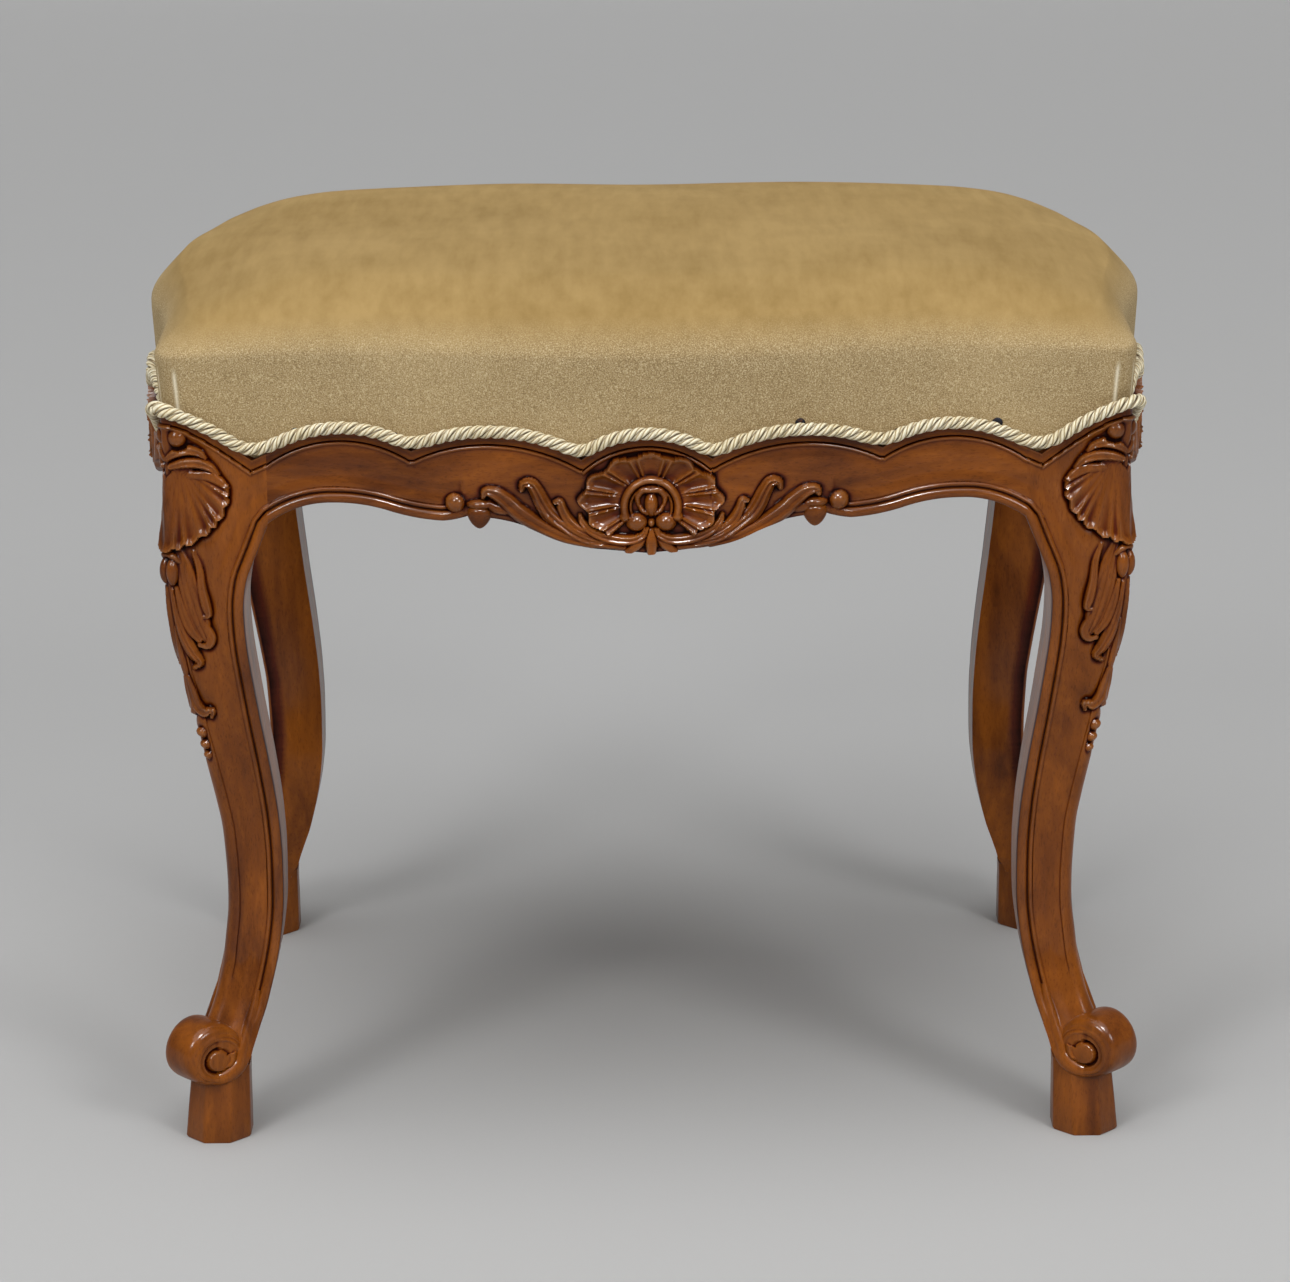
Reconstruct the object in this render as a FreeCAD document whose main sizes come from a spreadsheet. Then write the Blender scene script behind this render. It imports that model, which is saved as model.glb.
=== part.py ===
import FreeCAD, Part
import math
import os
import re
import Sketcher
from FreeCAD import Placement, Rotation, Vector

# A carved cabriole stool with an upholstered seat.
# Millimetres, +X to the sitter's right, +Y to the back, +Z up.
# The origin is on the floor, under the middle of the seat.

# Driving sizes in millimetres. A drop is measured down from the top of the frame, and a
# rise up from it, so the carving and the seat go with the frame.
SIZES = [
    # Frame layout: from the middle of the stool to the middle of a foot
    ("leg_spread_x", 232.0),
    ("leg_spread_y", 163.0),
    ("frame_height", 405.0),
    # Leg: reaches are measured from the middle of its foot
    ("leg_face_reach", 16.4),
    ("leg_joint_reach", 38.4),
    ("shoulder_drop", 60),
    ("leg_corner_radius", 7.0),
    # Foot block
    ("foot_across", 34.6),
    ("foot_neck_across", 31.2),
    ("foot_neck_shift", 1.8),
    ("foot_height", 33.0),
    # Scroll toe
    ("toe_radius", 18.0),
    ("toe_width", 22.5),
    ("toe_reach", 9.6),
    ("toe_height", 50.0),
    ("toe_eye_radius", 4.2),
    ("toe_eye_relief", 1.2),
    ("toe_groove_width", 1.6),
    ("toe_groove_depth", 1.2),
    # Knee ball
    ("knee_ball_radius", 5.2),
    ("knee_ball_drop", 22),
    # Moulding on legs and rails
    ("bead_width", 6.0),
    ("bead_relief", 1.2),
    ("tack_rebate", 3.5),
    # Rails
    ("rail_thickness", 22.0),
    ("long_bow", 21.0),
    ("short_bow", 19.0),
    ("underside_joint_drop", 60),
    ("underside_crest_drop", 49),
    ("underside_middle_drop", 74),
    ("bud_drop", 63.5),
    ("outline_overrun", 10.0),
    # Scalloped top edge of the show wood
    ("scallop_corner_drop", 8.5),
    ("scallop_cusp_drop", 28),
    ("scallop_joint_drop", 24.6),
    ("scallop_cusp_shift", 7.4),
    ("scallop_arch_drop", 13),
    ("scallop_mid_cusp_drop", 22.5),
    ("scallop_inner_cusp_drop", 24.5),
    # Mortise and tenon joints
    ("tenon_length", 24.0),
    ("tenon_thickness", 9.0),
    ("tenon_low_drop", 53),
    ("tenon_high_drop", 8),
    ("tenon_clearance", 0.1),
    ("mortise_end_clearance", 1.0),
    # Corner blocks
    ("block_reach", 60.0),
    ("block_base_drop", 39),
    ("block_height", 30.0),
    ("block_tip", 10.0),
    # Webbing
    ("web_width", 50.0),
    ("web_thickness", 1.5),
    ("web_gap", 0.3),
    ("web_long_pitch", 90.0),
    ("web_cross_pitch", 100.0),
    ("web_slope", 30.0),
    ("web_end_setback", 7.0),
    # Upholstery tacks
    ("tack_head_radius", 3.2),
    ("tack_head_thickness", 0.8),
    ("tack_shank", 1.6),
    ("tack_length", 12.0),
    ("tack_spread", 28.0),
    ("tack_inset", 8.0),
    ("tack_rise", 3.2),
    # Hessian, stuffing and cover
    ("hessian_thickness", 0.8),
    ("hessian_inset", 3.0),
    ("cover_thickness", 1.5),
    ("cover_gap", 0.4),
    ("hem_drop", 34),
    ("bulge_rise", 19),
    ("edge_rise", 41),
    ("bulge_swell", 3.0),
    ("edge_draw", 3.6),
    ("crown_rise", 62),
    ("pleat_facet", 10.6),
    # Trim cord
    ("cord_radius", 3.25),
    ("cord_rise", 3.6),
    ("cord_gap", 0.3),
    ("cord_end_gap", 0.6),
]

# Heights above the floor, which all follow the frame's height
HEIGHTS = [
    ("shoulder_height", "shoulder_drop"),
    ("knee_ball_height", "knee_ball_drop"),
    ("underside_joint_height", "underside_joint_drop"),
    ("underside_crest_height", "underside_crest_drop"),
    ("underside_middle_height", "underside_middle_drop"),
    ("bud_height", "bud_drop"),
    ("scallop_corner_height", "scallop_corner_drop"),
    ("scallop_cusp_height", "scallop_cusp_drop"),
    ("scallop_joint_height", "scallop_joint_drop"),
    ("scallop_arch_height", "scallop_arch_drop"),
    ("scallop_mid_cusp_height", "scallop_mid_cusp_drop"),
    ("scallop_inner_cusp_height", "scallop_inner_cusp_drop"),
    ("tenon_low_height", "tenon_low_drop"),
    ("tenon_high_height", "tenon_high_drop"),
    ("block_base_height", "block_base_drop"),
    ("hem_height", "hem_drop"),
    ("bulge_height", "-bulge_rise"),
    ("edge_height", "-edge_rise"),
    ("crown_height", "-crown_rise"),
]

NAMES = [name for name, _ in SIZES + HEIGHTS]
ALIAS = re.compile(r"\b(" + "|".join(NAMES) + r")\b")

# Cabriole leg from stem to shoulder: height as a share of the shoulder height, then the
# outer and inner face as shares of the block's width, both from the foot's centre line
LEG_SHARES = [
    (0.087, 0.250, -0.330),
    (0.136, 0.215, -0.352),
    (0.215, 0.018, -0.513),
    (0.351, -0.137, -0.675),
    (0.525, -0.084, -0.662),
    (0.713, 0.137, -0.513),
    (0.864, 0.275, -0.444),
    (0.913, 0.284, -0.500),
    (0.957, 0.279, -0.590),
    (1.000, 0.2774, -0.7007),
]

# Underside of a rail: shares of the rail's half length, then of the drop from the
# crest of its arch to its joint (first part) or to its middle (second part)
CREST_SHARE = 0.826
ARCH_VIA_SHARES = (0.927, 0.30)
SHOULDER_VIA_SHARES = (0.744, 0.048)
DIP_SHARES = (0.671, 0.20)
DIP_VIA_SHARES = (0.604, 0.33)
LOW_SHARES = (0.537, 0.38)
RISE_VIA_SHARES = (0.500, 0.32)
BUD_SHARES = (0.462, 0.20)
BUD_INNER_SHARES = (0.415, 0.26)
LEAF_VIA_SHARES = (0.362, 0.33)
LEAF_SHARES = (0.284, 0.56)
TONGUE_VIA_SHARES = (0.207, 0.84)
TONGUE_SHARES = (0.114, 0.98)

# Scallops along a rail: shares of its half length
ARCH_PEAK_SHARE = 0.806
MID_CUSP_SHARE = 0.617
INNER_PEAK_SHARE = 0.429
INNER_CUSP_SHARE = 0.170
# Where the corner scallop passes between its cusp and the stool's corner
CORNER_VIA_SHARES = (0.48, 0.60)

# Where the trim cord bends: shares of a rail's half length, then of the way from the
# corner cusp to the pleat at the stool's corner
CORD_RAIL_SHARES = (0.0, 0.10, 0.17, 0.25, 0.36, 0.50, 0.617, 0.70, 0.80, 0.91)
CORD_CORNER_SHARES = (0.0, 0.45, 1.0)

# Tacks under the cord: shares of a rail's half length
LONG_TACK_SHARES = (-0.92, -0.66, -0.40, -0.13, 0.13, 0.40, 0.66, 0.92)
SHORT_TACK_SHARES = (-0.90, -0.54, -0.18, 0.18, 0.54, 0.90)

# Crown of the seat: shares of the way from its edge to its top, and of the size of its edge
CROWN_SHARES = ((0.42, 0.935), (0.78, 0.785), (1.0, 0.40))

# Facets along half of one side of the seat
SIDE_STEPS = 9

# The spiral on the end of a scroll toe: reaches of its half turns, as shares of the radius
SPIRAL_SHARES = (0.84, 0.66, 0.48)

# Bow of a side, serpentine on plan: where each arc passes and ends, as shares of the half
# length, and how much of the bow it has reached there
HOLLOW_VIA_SHARES = (0.75, 0.125)
INFLECTION_SHARES = (0.5, 0.5)

# Leg section: rounding of the bead and of the corner, and the middle of a quarter round
BEAD_ROUND_SHARE = 0.8
CORNER_EASE_SHARES = (0.35, 0.25)
QUARTER_VIA_SHARE = 0.293

# Upholstery tacks: sides of the head, and the shank's tip as a share of its root
TACK_HEAD_SIDES = 6
TACK_TIP_SHARE = 0.25
# Run over which the slope under a tack is taken, as a share of the rail's half length
SLOPE_SHARE = 0.01
# Sides of the trim cord's section
CORD_SIDES = 6


doc = FreeCAD.newDocument("stool")
sizes = doc.addObject("Spreadsheet::Sheet", "sizes")
heights = [(alias, "=frame_height - (%s)" % drop) for alias, drop in HEIGHTS]
for row, (alias, content) in enumerate(SIZES + heights, start=1):
    sizes.set("A%d" % row, alias)
    sizes.set("B%d" % row, str(content))
    sizes.setAlias("B%d" % row, alias)
doc.recompute()


def linked(expression):
    """The expression with each alias pointing into the sheet."""
    return ALIAS.sub(r"sizes.\1", expression)


def value(expression):
    """What an expression of aliases comes to now."""
    return float(sizes.evalExpression(expression))


def spot(place):
    return Vector(value(place[0]), value(place[1]), 0)


def bind(thing, **expressions):
    for prop, expression in expressions.items():
        thing.setExpression(prop, linked(expression))


def lift(sketch, expression):
    """Moves an unattached sketch along its own normal's axis Z."""
    sketch.setExpression("Placement.Base.z", linked(expression))


def outline(sketch, start, steps):
    """Closed outline in a sketch, each corner bound to the sheet.

    A step is the next corner (x, y), or an arc as (via, corner).
    """
    constraints = []
    bound = []
    ends = []
    here = start
    for step in steps:
        is_arc = isinstance(step[0], tuple)
        corner = step[1] if is_arc else step
        if is_arc:
            edge = Part.Arc(spot(here), spot(step[0]), spot(corner))
        else:
            edge = Part.LineSegment(spot(here), spot(corner))
        index = sketch.addGeometry(edge, False)
        near = sketch.getPoint(index, 1).distanceToPoint(spot(here))
        far = sketch.getPoint(index, 2).distanceToPoint(spot(here))
        first, last = (1, 2) if near < far else (2, 1)
        ends.append((index, first, last, here))
        if is_arc:
            middle = sketch.addGeometry(Part.Point(spot(step[0])), True)
            constraints.append(Sketcher.Constraint("PointOnObject", middle, 1, index))
            pin(constraints, bound, middle, 1, step[0])
        here = corner
    for number, (index, first, last, place) in enumerate(ends):
        before = ends[number - 1]
        constraints.append(Sketcher.Constraint("Coincident", before[0], before[2], index, first))
        pin(constraints, bound, index, first, place)
    sketch.addConstraint(constraints)
    for number, expression in bound:
        sketch.setExpression("Constraints[%d]" % number, linked(expression))
    return sketch


def pin(constraints, bound, index, end, place):
    """Fixes one point of a sketch at a pair of expressions."""
    for kind, expression in zip(("DistanceX", "DistanceY"), place):
        datum = value(expression)
        if expression != "0":
            bound.append((len(constraints), expression))
        constraints.append(Sketcher.Constraint(kind, -1, 1, index, end, datum))


def circle(sketch, place, radius):
    """Circle in a sketch, its centre and radius bound to the sheet."""
    index = sketch.addGeometry(Part.Circle(spot(place), Vector(0, 0, 1), value(radius)), False)
    constraints = []
    bound = []
    pin(constraints, bound, index, 3, place)
    bound.append((len(constraints), radius))
    constraints.append(Sketcher.Constraint("Radius", index, value(radius)))
    first = sketch.ConstraintCount
    sketch.addConstraint(constraints)
    for number, expression in bound:
        sketch.setExpression("Constraints[%d]" % (first + number), linked(expression))
    return sketch


def body_sketch(body, role, name, offset=None, turn=None):
    """Sketch on one of the body's own origin planes, moved along its normal."""
    plane = [item for item in body.Origin.OriginFeatures if item.Role == role][0]
    sketch = body.newObject("Sketcher::SketchObject", name)
    sketch.AttachmentSupport = [(plane, "")]
    sketch.MapMode = "FlatFace"
    if turn:
        sketch.AttachmentOffset = Placement(Vector(0, 0, 0), turn)
    if offset:
        sketch.setExpression("AttachmentOffset.Base.z", linked(offset))
    return sketch


def free_sketch(name, plane="XY"):
    """Sketch of a loose outline, flat on the floor or upright and facing the front."""
    sketch = doc.addObject("Sketcher::SketchObject", name)
    if plane == "XZ":
        sketch.Placement = Placement(Vector(0, 0, 0), Rotation(Vector(1, 0, 0), 90))
    return sketch


def extrude(name, base, direction, length, reverse="0"):
    solid = doc.addObject("Part::Extrusion", name)
    solid.Base = base
    solid.DirMode = "Custom"
    solid.Dir = direction
    solid.Solid = True
    bind(solid, LengthFwd=length, LengthRev=reverse)
    return solid


def boolean(kind, name, *things):
    """Cut takes two solids; Fuse and Common take any number."""
    if kind == "Cut":
        result = doc.addObject("Part::Cut", name)
        result.Base, result.Tool = things
        return result
    result = doc.addObject("Part::Multi" + kind, name)
    result.Shapes = list(things)
    return result


def mirrored(name, source, normal):
    """The same piece on the other side of the stool."""
    copy = doc.addObject("Part::Mirroring", name)
    copy.Source = source
    copy.Base = Vector(0, 0, 0)
    copy.Normal = normal
    return copy


# Expressions that several pieces share
BLOCK = "(leg_face_reach + leg_joint_reach)"
FACE = "(leg_face_reach - bead_relief)"
REBATE = "(leg_face_reach - tack_rebate)"
LONG_REACH = "(leg_spread_x - leg_joint_reach)"
SHORT_REACH = "(leg_spread_y - leg_joint_reach)"
LONG_FACE = "(leg_spread_y + leg_face_reach)"
SHORT_FACE = "(leg_spread_x + leg_face_reach)"


def leg_section(body, number, height_share, outer_share, inner_share):
    """One level of the leg: square at the back, beaded, hollow-faced and round-cornered."""
    height = "%g * shoulder_height" % height_share
    o = "%g * %s" % (outer_share, BLOCK)
    i = "%g * %s" % (inner_share, BLOCK)
    low = "(%s - bead_relief)" % o
    bead_end = "(%s + %g * bead_width)" % (i, BEAD_ROUND_SHARE)
    quirk = "(%s + bead_width)" % i
    round_start = "(%s - leg_corner_radius)" % o
    softer, soft = ("(%s - %g * leg_corner_radius)" % (o, share) for share in CORNER_EASE_SHARES)
    half = [(i, o), (bead_end, o), (quirk, low), (round_start, o), (softer, soft)]
    other_half = [(y, x) for x, y in reversed(half)]
    sketch = body_sketch(body, "XY_Plane", "leg_section_%d" % number, height)
    return outline(sketch, (i, i), half[:-1] + [(softer, soft), (soft, softer)] + other_half[1:] + [(i, i)])


def octagon(body, name, across, shift, offset=None):
    """Foot outline with flats to the front, back and sides."""
    far = "(%s / 2 - %s)" % (across, shift)
    back = "(-%s / 2 - %s)" % (across, shift)
    half_side = "%s * tan(22.5) / 2" % across
    high = "(%s - %s)" % (half_side, shift)
    low = "(-%s - %s)" % (half_side, shift)
    sketch = body_sketch(body, "XY_Plane", name, offset)
    return outline(sketch, (far, low), [
        (far, high),
        (high, far),
        (low, far),
        (back, high),
        (back, low),
        (low, back),
        (high, back),
        (far, low),
    ])


def loft(body, name, sections):
    feature = body.newObject("PartDesign::AdditiveLoft", name)
    feature.Profile = sections[0]
    feature.Sections = sections[1:]
    return feature


def pad(body, name, sketch, length, reverse=False, centred=False):
    """Adds material from a sketch and makes sure that it did."""
    before = body_volume(body)
    feature = body.newObject("PartDesign::Pad", name)
    feature.Profile = sketch
    feature.Reversed = reverse
    if centred:
        feature.SideType = "Symmetric"
    bind(feature, Length=length)
    if body_volume(body) <= before:
        raise RuntimeError("pad %s adds nothing" % name)
    return feature


def pocket(body, name, sketch, length, reverse=False):
    """Cuts material along a sketch and makes sure that it did."""
    before = body_volume(body)
    feature = body.newObject("PartDesign::Pocket", name)
    feature.Profile = sketch
    feature.Reversed = reverse
    bind(feature, Length=length)
    if body_volume(body) >= before:
        raise RuntimeError("pocket %s cuts nothing" % name)
    return feature


def body_volume(body):
    doc.recompute()
    return body.Shape.Volume if body.Tip else 0


# The two joint sides of a leg: plane role, sign of the plane's normal along the outward axis
LEG_SIDES = (("YZ_Plane", 1), ("XZ_Plane", -1))
LEG_CORNER = "(leg_face_reach - leg_corner_radius)"
LEG_CUSP = "(scallop_cusp_shift - leg_joint_reach)"
# The tenons stand in the middle of the rails' ends, this far out from the foot's centre
TENON_INSIDE = "(leg_face_reach - rail_thickness / 2 - tenon_thickness / 2)"


def signed(sign, expression):
    return expression if sign > 0 else "-1 * (%s)" % expression


def corner_scallop(drop):
    """Scallop from a leg's joint face to its corner, lowered by a drop."""
    run, rise = CORNER_VIA_SHARES
    via_reach = "(%s + %g * (%s - %s))" % (LEG_CUSP, run, LEG_CORNER, LEG_CUSP)
    climb = "(scallop_corner_height - scallop_cusp_height)"
    via_height = "(scallop_cusp_height + %g * %s - %s)" % (rise, climb, drop)
    joint = ("-leg_joint_reach", "scallop_joint_height - %s" % drop)
    cusp = (LEG_CUSP, "scallop_cusp_height - %s" % drop)
    corner = (LEG_CORNER, "scallop_corner_height - %s" % drop)
    return joint, cusp, (via_reach, via_height), corner


def leg_shoulder(body):
    """Square block above the knee, with its tacking face, top moulding and mortises."""
    sketch = body_sketch(body, "XY_Plane", "shoulder_outline", "shoulder_height")
    start = "(%s - leg_corner_radius)" % FACE
    via = "(%s - %g * leg_corner_radius)" % (FACE, QUARTER_VIA_SHARE)
    back = "-leg_joint_reach"
    outline(sketch, (back, back), [
        (back, FACE),
        (start, FACE),
        ((via, via), (FACE, start)),
        (FACE, back),
        (back, back),
    ])
    pad(body, "shoulder", sketch, "frame_height - shoulder_height")
    for role, sign in LEG_SIDES:
        away = sign < 0
        joint, cusp, via, corner = corner_scallop("0")
        low_joint, low_cusp, low_via, low_corner = corner_scallop("bead_width")
        band = body_sketch(body, role, "top_band_" + role[:2], signed(sign, FACE))
        outline(band, joint, [cusp, (via, corner), low_corner, (low_via, low_cusp), low_joint, joint])
        pad(body, "top_moulding_" + role[:2], band, "bead_relief", reverse=away)
        above = body_sketch(body, role, "tacking_face_" + role[:2], signed(sign, REBATE))
        beyond = "(leg_face_reach + outline_overrun)"
        top = "(frame_height + outline_overrun)"
        side = "(-leg_joint_reach - outline_overrun)"
        outline(above, joint, [
            cusp,
            (via, corner),
            (beyond, corner[1]),
            (beyond, top),
            (side, top),
            (side, joint[1]),
            joint,
        ])
        pocket(body, "tacking_rebate_" + role[:2], above, "tack_rebate + outline_overrun",
               reverse=not away)
        slot = body_sketch(body, role, "mortise_outline_" + role[:2], signed(sign, "-leg_joint_reach"))
        slot_near = "(%s - tenon_clearance)" % TENON_INSIDE
        slot_far = "(%s + tenon_thickness + tenon_clearance)" % TENON_INSIDE
        slot_low = "(tenon_low_height - tenon_clearance)"
        slot_high = "(tenon_high_height + tenon_clearance)"
        outline(slot, (slot_near, slot_low), [
            (slot_far, slot_low),
            (slot_far, slot_high),
            (slot_near, slot_high),
            (slot_near, slot_low),
        ])
        pocket(body, "mortise_" + role[:2], slot, "tenon_length + mortise_end_clearance",
               reverse=not away)
    facet = body_sketch(body, "XY_Plane", "corner_facet", "scallop_corner_height")
    near = "(%s - pleat_facet)" % REBATE
    far = "(%s + outline_overrun)" % REBATE
    far_near = "(%s - pleat_facet - outline_overrun)" % REBATE
    outline(facet, (far_near, far), [(far, far), (far, far_near), (near, REBATE), (far_near, far)])
    return facet


def diagonal_sketch(body, name, aside="0"):
    """Upright sketch along the leg's outward diagonal, moved sideways off it."""
    sketch = body_sketch(body, "XZ_Plane", name, turn=Rotation(Vector(0, 1, 0), 45))
    if aside != "0":
        bind(sketch, **{"AttachmentOffset.Base.x": "(%s) * sin(45)" % aside})
        bind(sketch, **{"AttachmentOffset.Base.z": "(%s) * cos(45)" % aside})
    return sketch


def spiral(sketch):
    """A narrow band wound inwards in half circles."""
    def reach(number, inset):
        side = 1 if number % 2 == 0 else -1
        share = SPIRAL_SHARES[number]
        return "(toe_reach + %d * (%g * toe_radius - %s))" % (side, share, inset)

    def half_turn(number, inset):
        start, end = reach(number, inset), reach(number + 1, inset)
        side = 1 if number % 2 == 0 else -1
        share = (SPIRAL_SHARES[number] + SPIRAL_SHARES[number + 1]) / 2
        via = ("(%s + %s) / 2" % (start, end), "toe_height + %d * (%g * toe_radius - %s)" % (side, share, inset))
        return via, (start, "toe_height"), (end, "toe_height")

    half_turns = range(len(SPIRAL_SHARES) - 1)
    out = [half_turn(number, "0") for number in half_turns]
    back = [half_turn(number, "toe_groove_width") for number in half_turns]
    steps = [(via, end) for via, start, end in out]
    steps.append(back[-1][2])
    steps += [(via, start) for via, start, end in reversed(back)]
    steps.append(out[0][1])
    return outline(sketch, out[0][1], steps)


def make_leg():
    """The back right leg, built round the middle of its own foot."""
    body = doc.addObject("PartDesign::Body", "back_right_leg")
    sole = octagon(body, "sole", "foot_across", "0")
    neck = octagon(body, "foot_neck", "foot_neck_across", "foot_neck_shift", "foot_height")
    loft(body, "foot_block", [sole, neck])
    levels = [leg_section(body, number, *shares) for number, shares in enumerate(LEG_SHARES)]
    loft(body, "cabriole", levels)
    facet = leg_shoulder(body)
    pocket(body, "corner_cut", facet, "frame_height - scallop_corner_height", reverse=True)
    roll = circle(diagonal_sketch(body, "toe_outline"), ("toe_reach", "toe_height"), "toe_radius")
    pad(body, "scroll_toe", roll, "toe_width", centred=True)
    eye = circle(diagonal_sketch(body, "eye_outline"), ("toe_reach", "toe_height"), "toe_eye_radius")
    pad(body, "toe_eyes", eye, "toe_width + 2 * toe_eye_relief", centred=True)
    for sign in (1, -1):
        face = spiral(diagonal_sketch(body, "spiral_line", "%d * toe_width / 2" % sign))
        pocket(body, "spiral_groove", face, "toe_groove_depth", reverse=sign < 0)
    ball = body.newObject("PartDesign::AdditiveSphere", "knee_ball")
    bind(ball, Radius="knee_ball_radius")
    bind(ball, **{"Placement.Base.x": LEG_CORNER})
    bind(ball, **{"Placement.Base.y": LEG_CORNER})
    bind(ball, **{"Placement.Base.z": "knee_ball_height"})
    bind(body, **{"Placement.Base.x": "leg_spread_x", "Placement.Base.y": "leg_spread_y"})
    doc.recompute()
    return body


def along(share, reach):
    return "%g * %s" % (share, reach)


def under(share, low):
    """Height on a rail's underside: a share of the way from its crest down to a level."""
    return "underside_crest_height - %g * (underside_crest_height - %s)" % (share, low)


def underside_steps(reach, side, budded):
    """Half of a rail's underside, from joint to tongue for side 1, as (via, corner) pairs."""
    def at(shares, low="underside_middle_height"):
        return "%d * %s" % (side, along(shares[0], reach)), under(shares[1], low)

    bud_x = "%d * %s" % (side, along((BUD_SHARES[0] + BUD_INNER_SHARES[0]) / 2, reach))
    bud = (bud_x, "bud_height") if budded else None
    return [
        (None, ("%d * %s" % (side, reach), "underside_joint_height")),
        (at(ARCH_VIA_SHARES, "underside_joint_height"), at((CREST_SHARE, 0))),
        (at(SHOULDER_VIA_SHARES), at(DIP_SHARES)),
        (at(DIP_VIA_SHARES), at(LOW_SHARES)),
        (at(RISE_VIA_SHARES), at(BUD_SHARES)),
        (bud, at(BUD_INNER_SHARES)),
        (at(LEAF_VIA_SHARES), at(LEAF_SHARES)),
        (at(TONGUE_VIA_SHARES), at(TONGUE_SHARES)),
    ]


def reversed_steps(steps):
    """The same run of arcs walked from its other end."""
    corners = [corner for via, corner in steps]
    vias = [via for via, corner in steps[1:]]
    walk = [(via, corner) for via, corner in zip(reversed(vias), reversed(corners[:-1]))]
    return [(None, corners[-1])] + walk


def flat_steps(steps):
    return [corner if via is None else (via, corner) for via, corner in steps]


def scallop_steps(reach, rise="0"):
    """Top edge of a rail from its right joint to its left one."""
    def at(share, height):
        return along(share, reach), "%s + %s" % (height, rise)

    arch = "scallop_arch_height"
    return [
        (None, at(1, "scallop_joint_height")),
        (at(ARCH_PEAK_SHARE, arch), at(MID_CUSP_SHARE, "scallop_mid_cusp_height")),
        (at(INNER_PEAK_SHARE, arch), at(INNER_CUSP_SHARE, "scallop_inner_cusp_height")),
        (("0", "%s + %s" % (arch, rise)), at(-INNER_CUSP_SHARE, "scallop_inner_cusp_height")),
        (at(-INNER_PEAK_SHARE, arch), at(-MID_CUSP_SHARE, "scallop_mid_cusp_height")),
        (at(-ARCH_PEAK_SHARE, arch), at(-1, "scallop_joint_height")),
    ]


def rail_elevation(name, reach, budded):
    """Front view of a rail, running past both joints so that its offset does too."""
    past = "(%s + outline_overrun)" % reach
    middle = (("0", "underside_middle_height"), underside_steps(reach, 1, budded)[-1][1])
    steps = [(None, (past, "scallop_joint_height"))]
    steps += scallop_steps(reach)
    steps += [(None, ("-" + past, "scallop_joint_height")), (None, ("-" + past, "underside_joint_height"))]
    steps += underside_steps(reach, -1, budded)
    steps += [middle]
    steps += reversed_steps(underside_steps(reach, 1, budded))[1:]
    steps += [(None, (past, "underside_joint_height")), (None, (past, "scallop_joint_height"))]
    return outline(free_sketch(name, "XZ"), steps[0][1], flat_steps(steps[1:]))


def rail_plan(name, reach, face, bow, inset):
    """Top view of a rail: flat towards the seat, serpentine outwards."""
    back = "(%s - rail_thickness)" % face
    front = "(%s - %s)" % (face, inset)

    def at(share, bow_share):
        return along(share, reach), "%s + %g * %s" % (front, bow_share, bow)

    def other(share, bow_share):
        return at(-share, bow_share)

    return outline(free_sketch(name), (along(-1, reach), back), [
        (along(1, reach), back),
        at(1, 0),
        (at(*HOLLOW_VIA_SHARES), at(*INFLECTION_SHARES)),
        (("0", "%s + %s" % (front, bow)), other(*INFLECTION_SHARES)),
        (other(*HOLLOW_VIA_SHARES), at(-1, 0)),
        (along(-1, reach), back),
    ])


def make_rail(name, reach, face, bow, budded):
    """A rail seen from the back of the stool, its serpentine face towards +Y."""
    deep = "%s + %s + outline_overrun" % (face, bow)
    face_on = rail_elevation(name + "_elevation", reach, budded)
    field = doc.addObject("Part::Offset2D", name + "_field")
    field.Source = face_on
    field.Join = "Arc"
    bind(field, Value="-1 * bead_width")
    upwards, backwards = Vector(0, 0, 1), Vector(0, 1, 0)
    plans = [
        extrude(name + "_" + word, rail_plan(name + "_plan_" + word, reach, face, bow, inset), upwards, "frame_height")
        for word, inset in (("full", "0"), ("sunk", "bead_relief"), ("tacking", "tack_rebate"))
    ]
    full, sunk, tacking = plans
    lift(tacking.Base, "underside_crest_height + bead_width")
    bind(tacking, LengthFwd="frame_height - underside_crest_height - bead_width")
    show_wood = boolean("Common", name + "_show_wood", extrude(name + "_board", face_on, backwards, deep), full)
    recess = boolean("Cut", name + "_recess", extrude(name + "_panel", field, backwards, deep), sunk)
    carved = boolean("Cut", name + "_carved", show_wood, recess)
    tenon = doc.addObject("Part::Box", name + "_tenons")
    bind(tenon, Length="2 * (%s + tenon_length)" % reach, Width="tenon_thickness",
         Height="tenon_high_height - tenon_low_height")
    bind(tenon, **{
        "Placement.Base.x": "-1 * (%s + tenon_length)" % reach,
        "Placement.Base.y": "%s - rail_thickness / 2 - tenon_thickness / 2" % face,
        "Placement.Base.z": "tenon_low_height",
    })
    return boolean("Fuse", name + "_wood", carved, tacking, tenon)


BLOCK_X = "(%s - rail_thickness)" % SHORT_FACE
BLOCK_Y = "(%s - rail_thickness)" % LONG_FACE


def make_corner_block():
    """Glue block in the back right corner, notched round the leg."""
    far_x = "(%s - block_reach)" % LONG_REACH
    far_y = "(%s - block_reach)" % SHORT_REACH
    plan = outline(free_sketch("corner_block_plan"), (far_x, BLOCK_Y), [
        (LONG_REACH, BLOCK_Y),
        (LONG_REACH, SHORT_REACH),
        (BLOCK_X, SHORT_REACH),
        (BLOCK_X, far_y),
        ("(%s - block_tip)" % BLOCK_X, far_y),
        (far_x, "(%s - block_tip)" % BLOCK_Y),
        (far_x, BLOCK_Y),
    ])
    lift(plan, "block_base_height")
    return extrude("back_right_corner_block", plan, Vector(0, 0, 1), "block_height")


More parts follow.
